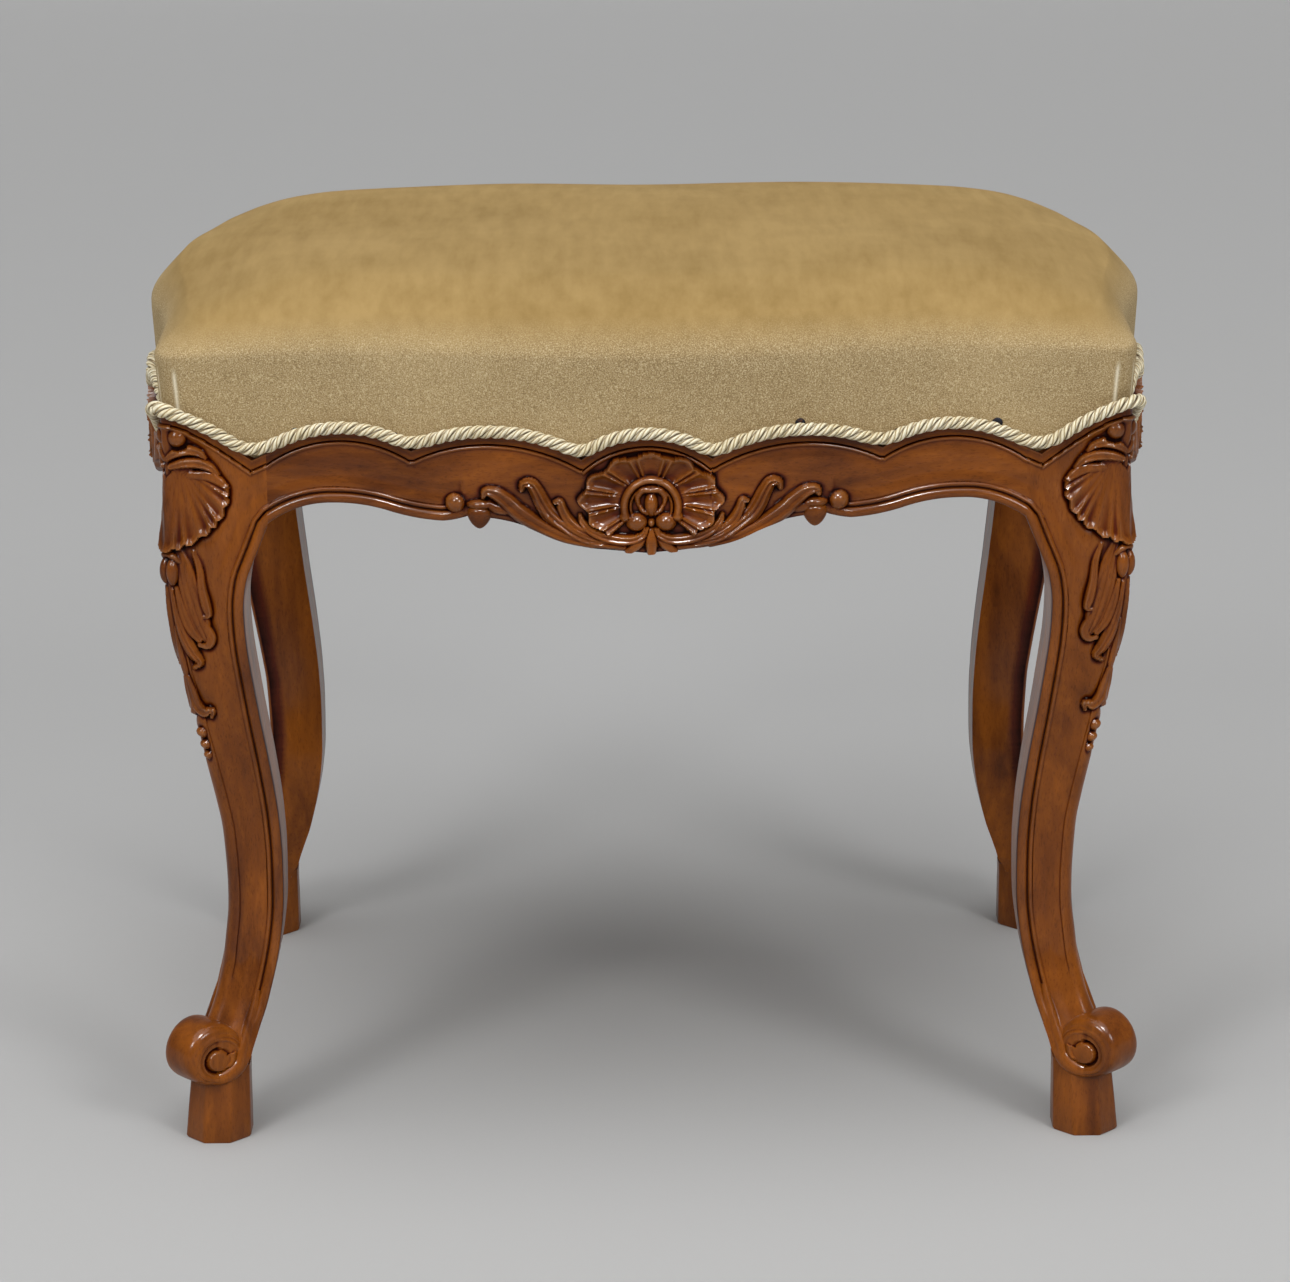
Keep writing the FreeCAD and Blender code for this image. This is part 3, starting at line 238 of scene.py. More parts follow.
def add_mesh(name, points, faces, finish, replaces, marks=None, uv=None, crease=50):
    """A finished piece from points in millimetres and lists of faces, riding on the frame in place of its
    solids; edges sharper than crease, in degrees, stay sharp."""
    mesh = bpy.data.meshes.new(name)
    points = np.asarray(points, float).reshape(-1, 3) * MM
    totals = np.concatenate([np.full(len(group), np.shape(group)[1]) for group in faces])
    corners = np.concatenate([np.ravel(group) for group in faces])
    mesh.vertices.add(len(points))
    mesh.vertices.foreach_set("co", points.ravel())
    mesh.loops.add(len(corners))
    mesh.loops.foreach_set("vertex_index", corners.astype(np.int32))
    mesh.polygons.add(len(totals))
    mesh.polygons.foreach_set("loop_start", (np.cumsum(totals) - totals).astype(np.int32))
    mesh.polygons.foreach_set("loop_total", totals.astype(np.int32))
    mesh.update(calc_edges=True)
    for title, values in (marks or {}).items():
        layer = mesh.attributes.new(title, "FLOAT", "POINT")
        layer.data.foreach_set("value", np.asarray(values, np.float32).ravel())
    if uv is not None:
        mesh.uv_layers.new(name="UVMap").data.foreach_set("uv", np.asarray(uv, np.float32).ravel())
    mesh.polygons.foreach_set("use_smooth", np.full(len(mesh.polygons), True))
    if crease:
        mesh.set_sharp_from_angle(angle=math.radians(crease))
    piece = bpy.data.objects.new(name, mesh)
    bpy.context.scene.collection.objects.link(piece)
    mesh.materials.append(finish)
    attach(piece, "root")
    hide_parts(*replaces)
    return piece


def look_from_the_photograph():
    """The photograph's camera: 111 mm lens, a little above the seat, tipped down 15.6 degrees."""
    camera = bpy.data.cameras.new("view")
    camera.sensor_fit = "HORIZONTAL"
    camera.sensor_width = 36.0
    focal_pixels, image_width = 3985.0, 1290.0
    camera.lens = focal_pixels / image_width * camera.sensor_width
    camera.clip_start, camera.clip_end = 0.05, 60.0
    pitch, yaw, roll = (math.radians(angle) for angle in (15.573, -0.134, -0.466))
    forward = Vector((-math.sin(yaw) * math.cos(pitch), math.cos(yaw) * math.cos(pitch), -math.sin(pitch)))
    level = Vector((math.cos(yaw), math.sin(yaw), 0.0))
    lifted = level.cross(forward)
    right = level * math.cos(roll) + lifted * math.sin(roll)
    up = -level * math.sin(roll) + lifted * math.cos(roll)
    eye = bpy.data.objects.new("view", camera)
    turn = Matrix((right, up, -forward)).transposed().to_4x4()
    eye.matrix_world = Matrix.Translation(Vector((-6.26, -2156.5, 827.1)) * MM) @ turn
    bpy.context.scene.collection.objects.link(eye)
    bpy.context.scene.camera = eye


def linear(code):
    """An sRGB hex colour as linear RGBA."""
    parts = [int(code[n:n + 2], 16) / 255 for n in (1, 3, 5)]
    return tuple(p / 12.92 if p <= 0.04045 else ((p + 0.055) / 1.055) ** 2.4 for p in parts) + (1.0,)


def node(tree, kind, inputs=None, out=0, stops=(), **settings):
    """Adds a shader node and gives its output; inputs are values, hex colours or outputs by socket."""
    made = tree.nodes.new("ShaderNode" + kind)
    for name, setting in settings.items():
        setattr(made, name, setting)
    for key, content in (inputs or {}).items():
        if isinstance(content, bpy.types.NodeSocket):
            tree.links.new(content, made.inputs[key])
        else:
            made.inputs[key].default_value = linear(content) if isinstance(content, str) else content
    for number, (place, code) in enumerate(stops):
        band = made.color_ramp.elements
        element = band[number] if number < len(band) else band.new(place)
        element.position, element.color = place, linear(code)
    return made.outputs[out]


def finish(name, build, **constants):
    """A material whose colour, roughness, normal and coat come from build, the rest from constants."""
    made = bpy.data.materials.new(name)
    made.use_nodes = True
    tree = made.node_tree
    shader = tree.nodes["Principled BSDF"]
    place = node(tree, "TexCoord", out="Object")
    for socket, content in build(tree, place).items():
        tree.links.new(content, shader.inputs[socket])
    for socket, content in constants.items():
        content = linear(content) if isinstance(content, str) else content
        shader.inputs[socket.replace("_", " ")].default_value = content
    return made


def set_the_stage():
    """A pale grey floor that curves up into a far backdrop on a quarter circle, a broad soft light from
    above and two lamps in front; small bright lamps beside them only show as glints in polish."""
    scene = bpy.context.scene
    scene.view_settings.view_transform = "Standard"
    near, bend, radius, top, half = -50000.0, 5000.0, 1500.0, 4500.0, 50000.0
    angles = np.linspace(0, math.pi / 2, 24)
    y = np.concatenate([[near], bend + radius * np.sin(angles), [bend + radius]])
    z = np.concatenate([[0.0], radius - radius * np.cos(angles), [top]])
    points = np.stack([np.tile([-half, half], (len(y), 1)), np.repeat(y[:, None], 2, 1),
                       np.repeat(z[:, None], 2, 1)], -1)
    mesh = bpy.data.meshes.new("floor")
    mesh.from_pydata((points.reshape(-1, 3) * MM).tolist(), [], grid_faces(len(y), 2).tolist())
    mesh.polygons.foreach_set("use_smooth", np.full(len(mesh.polygons), True))
    floor = bpy.data.objects.new("floor", mesh)
    scene.collection.objects.link(floor)
    mesh.materials.append(finish("matte_backdrop", lambda tree, place: {}, Base_Color="#B0B0B0",
                                 Roughness=0.7, Specular_IOR_Level=0.2))
    world = bpy.data.worlds.new("studio")
    scene.world = world
    world.use_nodes = True
    sky = world.node_tree.nodes["Background"].inputs
    sky["Color"].default_value, sky["Strength"].default_value = linear("#E4E4E2"), 0.24
    key, fill = (-1.5, -2.3, 2.0), (1.7, -2.2, 1.8)
    # Name, place in metres, watts, and width of its disk; the overhead one is a sun with a wide disk
    for name, place, power, size in (("key", key, 30.0, 1.0), ("fill", fill, 30.0, 1.0),
                                     ("key_glint", key, 45.0, 0.4), ("fill_glint", fill, 30.0, 0.4),
                                     ("top_glint", (0.1, -1.7, 2.7), 110.0, 0.7),
                                     ("overhead", (-0.15, -0.6, 2.7), 2.1, None)):
        lamp = bpy.data.lights.new(name, "AREA" if size else "SUN")
        lamp.energy = power
        if size:
            lamp.shape, lamp.size = "DISK", size
        else:
            lamp.angle = math.radians(60)
        holder = bpy.data.objects.new(name, lamp)
        holder.location = place
        holder.visible_diffuse = not name.endswith("glint")
        aim = Vector((0.0, 0.0, 0.3)) - Vector(place)
        holder.rotation_euler = aim.to_track_quat("-Z", "Y").to_euler()
        scene.collection.objects.link(holder)


# Moulded and carved wood

def face_out(x, half, face, bow):
    """How far out a side's show wood lies: flat past its joints, a hollow arc, then a full one to the
    middle."""
    via, turn = (0.75 * half, face + 0.125 * bow), (0.5 * half, face + 0.5 * bow)
    full = arc(turn, (0, face + bow), (-turn[0], turn[1]), 40)
    right = np.vstack([arc((half, face), via, turn, 24), full[1:20]])
    return np.interp(np.abs(x), right[::-1, 0], right[::-1, 1])


def scallops(x, half):
    """Top edge of the show wood: two arches and half of a third from the middle of a side to its joint, a
    cusp on the leg and a last rise to the corner; on the rails it lies a little under the frame's, as in
    the photograph."""
    cusp, corner = half + CUSP_REACH, half + JOINT_REACH + FACE_REACH - CORNER_ROUND
    first, second, joint, last = zip((0.17 * half, 0.617 * half, half, cusp), CUSPS)
    climb = cusp + 0.48 * (corner - cusp), last[1] + 0.6 * (CORNER_TOP - last[1])
    line = np.vstack([arc((-first[0], first[1]), (0, ARCH_TOP), first, 31)[15:],
                      arc(first, (0.429 * half, ARCH_TOP), second, 24)[1:],
                      arc(second, (0.806 * half, ARCH_TOP), joint, 24)[1:],
                      arc(last, climb, (corner, CORNER_TOP), 24)])
    return np.interp(np.abs(x), line[:, 0], line[:, 1]) - TRIM_DROP * (1 - smooth(cusp, corner, np.abs(x)))


def underside(half):
    """A rail's lower edge from its joint to its tongue: arcs through the turns of its arch, dip and leaf."""
    def at(share, drop, low=MIDDLE):
        return share * half, CREST - drop * (CREST - low)

    return arcs((half, SHOULDER), [
        (at(0.927, 0.30, SHOULDER), at(0.826, 0)),
        (at(0.744, 0.048), at(0.671, 0.20)),
        (at(0.604, 0.33), at(0.537, 0.38)),
        (at(0.500, 0.32), at(0.462, 0.20)),
        (None, at(0.415, 0.26)),
        (at(0.362, 0.33), at(0.284, 0.56)),
        (at(0.207, 0.84), at(0.114, 0.98)),
        (None, (0.0, MIDDLE - 1.5)),
    ], 14)


def leg_line(table, z):
    """Reach of a leg's face at a height, on a smooth curve through measured points."""
    line = even_spline(table, 400)
    return np.interp(z, line[:, 0], line[:, 1])


def half_round(x, middle, reach):
    """Half a circle over its middle, 1 high, and 0 outside its reach."""
    return np.sqrt(np.clip(1 - ((x - middle) / reach) ** 2, 0, 1))


def highest(*forms):
    """The highest of several carved forms at each place."""
    return np.maximum.reduce(forms)


def moulding(d):
    """Height of the wood at a distance from its lower edge: a half-round 5.3 wide, a quirk, a thin bead 2.3
    wide and a soft hollow up to the field."""
    quirk, thin_edge = 5.3, 6.1
    bead = -1.2 + 2.3 * half_round(d, 2.65, 2.65)
    thin = -0.9 + 1.5 * half_round(d, 7.25, 1.15)
    hollow = -0.95 * np.sin(np.clip((d - FIELD) / 13, 0, 1) * math.pi) ** 2
    hollow = hollow - 0.45 * (1 - smooth(FIELD, 14, d))
    return np.where(d < quirk, bead, np.where(d < thin_edge, -1.3, np.where(d < FIELD, thin, hollow)))


def lip(t):
    """Height of the wood at a distance below its scalloped edge: a shallow cove, a quirk and a thin lip."""
    cove = -1.0 * np.sqrt(np.clip(np.sin(np.clip((t - 0.6) / 4.4, 0, 1) * math.pi), 0, 1))
    quirk = -1.7 * np.exp(-((t - 5.0) / 0.4) ** 2)
    ridge = 0.75 * half_round(t, 6.0, 0.8)
    return np.where(t < 5.25, cove + quirk, ridge) - 0.3 * smooth(6.5, 7.2, t) * (1 - smooth(7.2, 14, t))


def stroke(x, z, points, ribs):
    """Height of a carved stem or leaf: across a spline of (x, z, half width, height) it falls as a
    flattened half ellipse, cut by cosine ribs along it."""
    line = even_spline(points, 8 * len(points))
    reach = line[:, 2].max() + 1
    near = ((x > line[:, 0].min() - reach) & (x < line[:, 0].max() + reach) & (z > line[:, 1].min() - reach)
            & (z < line[:, 1].max() + reach))
    height = np.full(x.shape, NOWHERE)
    gap, signed, share = nearest(x[near], z[near], line)
    place = share * (len(line) - 1)
    width, top = (np.interp(place, np.arange(len(line)), line[:, n]) for n in (2, 3))
    t = gap / np.maximum(width, 0.2)
    body = top * np.sqrt(np.clip(1 - t ** 2.6, 0, 1))
    if ribs:
        body -= 0.2 * top * (0.5 + 0.5 * np.cos(math.pi * ribs * signed / np.maximum(width, 0.2))) * (t < 1)
    height[near] = np.where(t < 1, body, NOWHERE)
    return height


def dome(x, z, cx, cz, rx, rz, top):
    """Height of a half ellipsoid standing on the field."""
    left = 1 - ((x - cx) / rx) ** 2 - ((z - cz) / rz) ** 2
    return np.where(left > 0, top * np.sqrt(np.clip(left, 0, 1)), NOWHERE)


# Leaves beside the middle shell: distance from its middle, height, half width, relief
RAIL_LEAVES = (
    ([(14, 334.0, 2.4, 2.6), (30, 336.6, 3.2, 3.4), (38.5, 340.2, 3.8, 4.0), (45.5, 345.4, 4.2, 4.4),
      (51, 350.2, 4.4, 4.8), (54.6, 355.6, 4.2, 5.0), (57.4, 361.4, 3.8, 5.2), (60.4, 366.0, 3.2, 5.6),
      (64.2, 366.0, 2.4, 5.4), (65.4, 362.8, 1.4, 4.2)], 3),
    ([(30, 334.8, 2.2, 2.4), (44, 338.6, 3.2, 3.4), (57, 344.8, 4.2, 4.0), (66.5, 350.8, 4.8, 4.4),
      (73, 356.6, 4.6, 4.6), (78.6, 360.6, 3.8, 5.0), (83.4, 361.4, 2.8, 4.6), (85, 358.6, 1.4, 3.4)], 2),
    ([(28, 338.4, 1.8, 3.0), (36, 342.6, 2.8, 4.0), (41.8, 347.4, 3.2, 4.4), (44.8, 352.8, 2.8, 4.6),
      (46.2, 357.0, 2.2, 4.6), (48.6, 356.8, 1.3, 3.8)], 2),
    ([(2.6, 344.0, 1.8, 4.6), (4.4, 340.2, 2.5, 5.0), (10.3, 337.6, 3.0, 5.2), (19.9, 338.2, 3.3, 5.0),
      (29.0, 341.4, 3.0, 4.8), (34.4, 346.2, 2.3, 4.4), (35.8, 350.0, 1.3, 3.4)], 2),
    ([(70, 351.6, 1.8, 2.2), (77, 352.2, 2.6, 2.6), (82, 354.6, 2.2, 2.4)], 0),
)

# In and under the shell: the scroll's ends, the bud, the scroll heads and the bead between them, as
# distance from the middle, height, half width, half height and relief; the bud's hood and collar, the
# tongue and its side leaves
SHELL_BUDS = ((13.2, 349.8, 3.1, 3.1, 5.6), (0, 356.2, 3.5, 7.0, 5.8), (7.4, 347.0, 5.6, 5.1, 6.6),
              (0, 346.6, 1.9, 2.4, 5.0))
SHELL_LEAVES = (
    ([(0.6, 363.6, 1.8, 5.0), (4.4, 363.6, 2.2, 4.8), (6.9, 360.0, 1.7, 4.0), (6.4, 355.6, 1.0, 2.8)], 0),
    ([(2.0, 351.2, 1.2, 3.4), (4.6, 353.0, 1.4, 3.6), (6.0, 355.8, 0.9, 2.6)], 0),
    ([(2.6, 340.0, 1.5, 3.6), (7.0, 335.2, 2.7, 4.4), (11.6, 331.6, 2.0, 4.0)], 1),
    ([(0, 342.6, 1.6, 4.6), (0, 337.0, 3.2, 5.8), (0, 330.6, 2.3, 5.0)], 1),
)


def rail_carving(c, z, stretch):
    """Carving in the middle of a rail, mirrored about it: a ruffled shell round a C-scroll, a hooded bud in
    the scroll, a pair of scroll heads, leaves sweeping out to both sides and a tongue; the highest form at
    each place."""
    s = c / stretch
    # Shell: an oval of lobes 30 degrees apart, open at its foot, each dished and curled up at its rim, with a
    # pair of ribs between
    shell_middle, shell_width, shell_height, lobes = 358.0, 35.0, 23.4, 12
    dx, dz = s / shell_width, (z - shell_middle) / shell_height
    angle = np.arctan2(dz, dx)
    foot = angle <= math.radians(-52)
    wave = np.cos((angle - math.pi / 2) * lobes)
    t = np.hypot(dx, dz) / (1 + 0.045 * wave + 0.02 * np.sin(5 * angle + 1))
    outwards = smooth(0.42, 0.62, t)
    dish = 1.3 * (0.5 + 0.5 * wave) * outwards * (1 - smooth(0.86, 0.98, t))
    ridges = (1.0 * np.exp(-((wave + 0.7) / 0.22) ** 2) - 0.8 * np.exp(-((wave + 1) / 0.09) ** 2)) * outwards
    shell = 1.2 + 4.6 * np.clip(t, 0, 1) ** 2 - dish + ridges
    leaves = [stroke(s, z, points, ribs) for points, ribs in RAIL_LEAVES]
    height = highest(*leaves, np.where((t < 1) & ~foot, shell, NOWHERE),
                     np.where((t < 1.02) & foot, 1.0, NOWHERE))
    # C-scroll: a ring open at the foot with a thin band inside it, its bed sunk
    ring = np.hypot(s * 1.03, z - 354.8)
    height = np.where((ring < 12) & (z > 344), 1.5, height)
    bands = []
    for radius, reach, low, top in ((14.0, 2.3, 349.0, 5.6), (10.8, 0.9, 351.0, 3.6)):
        on_it = (np.abs(ring - radius) < reach) & (z > low)
        bands.append(np.where(on_it, top * half_round(ring, radius, reach), NOWHERE))
    ends = [dome(s, z, *place) for place in SHELL_BUDS]
    return highest(height, *bands, *ends, *(stroke(s, z, points, ribs) for points, ribs in SHELL_LEAVES))


def rail_form(half, face, bow, middle, stretch):
    """A rail as one closed form: at each place along it, its carved front on rows that keep their distance
    from its two edges, the step back to the tacking face, and its plain top, back and underside."""
    fine = np.linspace(-64, 64, 271) * min(1, half / 150)
    coarse = np.linspace(fine[-1], half, int((half - fine[-1]) / 0.72))[1:]
    x = np.concatenate([-coarse[::-1], fine, coarse])
    edge = underside(half)
    low = np.interp(np.abs(x), edge[::-1, 0], edge[::-1, 1])
    high = scallops(x, half)
    lean_low, lean_high = (np.hypot(1, np.gradient(line, x)) for line in (low, high))
    from_low = MOULD_STEPS[:, None] * np.minimum(lean_low, 1.5)
    from_high = LIP_STEPS[:, None] * np.minimum(lean_high, 1.5)
    between = np.linspace(0, 1, 58)[1:-1, None]
    middle_low, middle_high = low + from_low[-1], high - from_high[-1]
    z = np.vstack([low + from_low, middle_low + between * (middle_high - middle_low),
                   (high - from_high)[::-1]])
    across = np.broadcast_to(x, z.shape)
    # The leg's inner edge carries the lower line on past the joints
    drop = np.arange(300, SHOULDER, 4.0)
    past = np.stack([half + JOINT_REACH + leg_line(INNER_LINE, drop), drop], 1)
    line = np.vstack([past, edge])
    d = nearest(np.abs(across), z, line)[0]
    ends = smooth(0.478, 0.492, np.abs(across) / half)
    t = (high - z) / lean_high
    height = moulding(d) * ends + lip(t) - 1.0 * (1 - smooth(0, 1.6, d)) * (1 - ends)
    c = np.abs(across - middle)
    ball = dome(np.abs(across), z, 0.5035 * half, 352.8, 4.9, 4.9, 4.6)
    cap = dome(np.abs(across), z, 0.4405 * half, 352.4, 6.4, 2.6, 4.0)
    height = highest(height, rail_carving(c, z + 2.0, stretch), ball, cap)
    # Nothing stands out at the very edge, where the cord lies
    height = np.where(t < 0.6, np.minimum(height, 0.0), height)
    out = face_out(x, half, face, bow)
    front = np.stack([across, out + height, z], -1)
    flat = np.full_like(x, face - RAIL_THICK)
    top = np.full_like(x, FRAME_TOP)
    rest = [np.stack(place, -1) for place in ((x, out - REBATE, high), (x, out - REBATE, top), (x, flat, top),
                                              (x, flat, low))]
    points = np.concatenate([front, np.stack(rest)])
    rows, columns = points.shape[:2]
    loop = np.arange(rows) * columns
    faces = [grid_faces(rows, columns, wrap_rows=True, flip=True), loop[None, ::-1], loop[None] + columns - 1]
    marks = np.concatenate([hollows(height), np.full((4, columns), PLAIN)])
    return points, faces, marks


def drop_bud(x, out, z):
    """A blunt bud hanging from a rail's edge: a vertical spindle whose radius follows a spline."""
    profile = even_spline([(z + 3.6, 3.6), (z + 2, 5.8), (z - 1.2, 6.1), (z - 4.6, 4.6), (z - 7.2, 2.2),
                           (z - 8.2, 0.05)], 26)
    a = round_angles(28)
    height, radius = profile[:, 0, None], profile[:, 1, None]
    points = np.stack([x + radius * np.cos(a), out + 0.8 * radius * np.sin(a),
                       np.broadcast_to(height, (26, 28))], -1)
    return points, tube_faces(26, 28, flip=True), 0.52


# Carving on a knee, to both sides of its corner: distance from the stool's side, height, half width, relief
KNEE_STROKES = (
    ([(3.0, 373.5, 1.8, 2.2), (8.5, 376.8, 2.7, 3.4), (15, 378.4, 3.0, 4.2), (20.5, 377.2, 2.5, 4.0),
      (23.6, 374.4, 1.4, 3.0)], 2),
    ([(5.5, 369.8, 2.0, 2.8), (12.5, 371.6, 3.0, 4.0), (20, 371.8, 3.3, 4.8), (26, 369.6, 2.8, 4.6),
      (29.8, 365.8, 1.5, 3.4)], 2),
    ([(16, 365.6, 2.0, 3.0), (24, 365.2, 2.8, 4.2), (30.5, 362.4, 2.6, 4.8), (34.4, 358.8, 1.5, 3.6)], 1),
    ([(8, 326, 2.4, 1.0), (11, 316, 4.4, 1.7), (13.5, 304, 5.8, 2.0), (16.5, 292, 6.0, 2.3),
      (19.5, 282.5, 4.4, 2.7), (22, 276.8, 2.4, 2.8)], 4),
    ([(16, 325, 1.2, 1.2), (18.8, 316, 2.0, 2.0), (19.6, 306, 2.6, 2.8), (21.2, 297, 2.9, 3.4),
      (22.4, 291.6, 2.0, 3.6), (19.8, 290.4, 1.2, 2.8)], 2),
    ([(19.6, 286.5, 2.0, 2.8), (23.2, 279.4, 2.6, 3.8), (21.4, 274.6, 2.2, 4.0), (17.0, 274.8, 1.3, 3.0)], 1),
    ([(6.5, 306.0, 1.4, 1.8), (9.0, 294.0, 2.8, 2.5), (12.5, 284.0, 3.0, 2.9), (17.0, 277.6, 2.0, 2.9)], 2),
    ([(3.4, 305, 1.4, 1.8), (5.6, 292, 2.8, 2.6), (9.2, 279, 3.7, 3.1), (13.6, 270, 3.3, 3.5),
      (16.8, 265.0, 2.3, 3.8), (13.8, 262.2, 1.3, 3.0)], 3),
    ([(2.6, 284, 1.4, 1.8), (4.6, 270.5, 2.7, 2.6), (7.4, 261, 2.3, 2.8), (7.6, 256.6, 1.2, 2.2)], 1),
    ([(8.6, 256, 2.2, 2.6), (10.4, 248.5, 3.6, 3.2), (12.8, 241, 3.8, 3.4), (17.0, 236.4, 3.2, 3.8),
      (21.4, 237.4, 2.2, 4.0), (21.0, 233.8, 1.2, 3.0)], 2),
    ([(1.6, 323.4, 1.2, 2.4), (5.4, 323.0, 1.8, 3.2), (8.2, 320.2, 1.2, 2.4)], 0),
)
# How far the carving is sunk below the knee's face
KNEE_SINK = 2.8
# Rim of the knee's fan
KNEE_RIM = np.array([(-3.0, 327.4), (2.5, 326.0), (8.1, 327.4), (14.5, 329.7), (19.0, 332.0), (24.5, 336.0),
                     (29.5, 341.3), (33.2, 347.3), (35.0, 353.5), (34.6, 359.6)])


def knee_carving(a, z):
    """Carving on the front and side of a knee: a fluted shell fanned from its focus under rolled lobes, a
    ball over it, a long bud, leaves that sweep down to curled tips, and three beads on the corner."""
    # Fan: its rim's reach goes by the direction from its focus; channels between thin ridges end in lobes
    focus_a, focus_z, channels = 10.0, 371.0, 8
    way = np.arctan2(KNEE_RIM[:, 1] - focus_z, KNEE_RIM[:, 0] - focus_a)
    span = np.hypot(KNEE_RIM[:, 0] - focus_a, KNEE_RIM[:, 1] - focus_z)
    angle = np.arctan2(z - focus_z, a - focus_a)
    share = (angle - way[0]) / (way[-1] - way[0])
    share = share - 0.022 * np.sin(share * 17)
    channel = np.abs(np.sin(share * channels * math.pi))
    t = np.hypot(a - focus_a, z - focus_z) / (np.interp(angle, way, span) * (0.975 + 0.05 * channel))
    ruffle = smooth(0.4, 1.0, t)
    depth = (0.2 + 1.7 * ruffle) * channel * (1 - 0.55 * smooth(0.88, 1.0, t))
    fan = 1.6 + 3.4 * np.clip(t, 0, 1) ** 1.6 - depth
    inside = (t < 1) & (angle < way[-1] + 0.05) & (angle > way[0] - 0.5)
    beads = [dome(a, z, FACE_REACH - leg_line(OUTER_LINE, level) + 2.05, level, radius, radius,
                  KNEE_SINK - 0.4 + 0.6 * radius)
             for level, radius in ((224.4, 3.3), (217.4, 3.0), (211.2, 2.6))]
    long_bud = dome(a, z, 4.4, 314.8, 3.8, 7.6, 4.0)
    height = highest(np.where(inside, fan, NOWHERE), long_bud, *beads,
                     *(stroke(a, z, points, ribs) for points, ribs in KNEE_STROKES))
    # Ball under the cord, in a sunk bed
    height = np.where(np.hypot(a - 9.6, z - 385.6) < 7.6, NOWHERE, height)
    return highest(height, dome(a, z, 9.6, 385.0, 4.9, 4.9, 4.4))


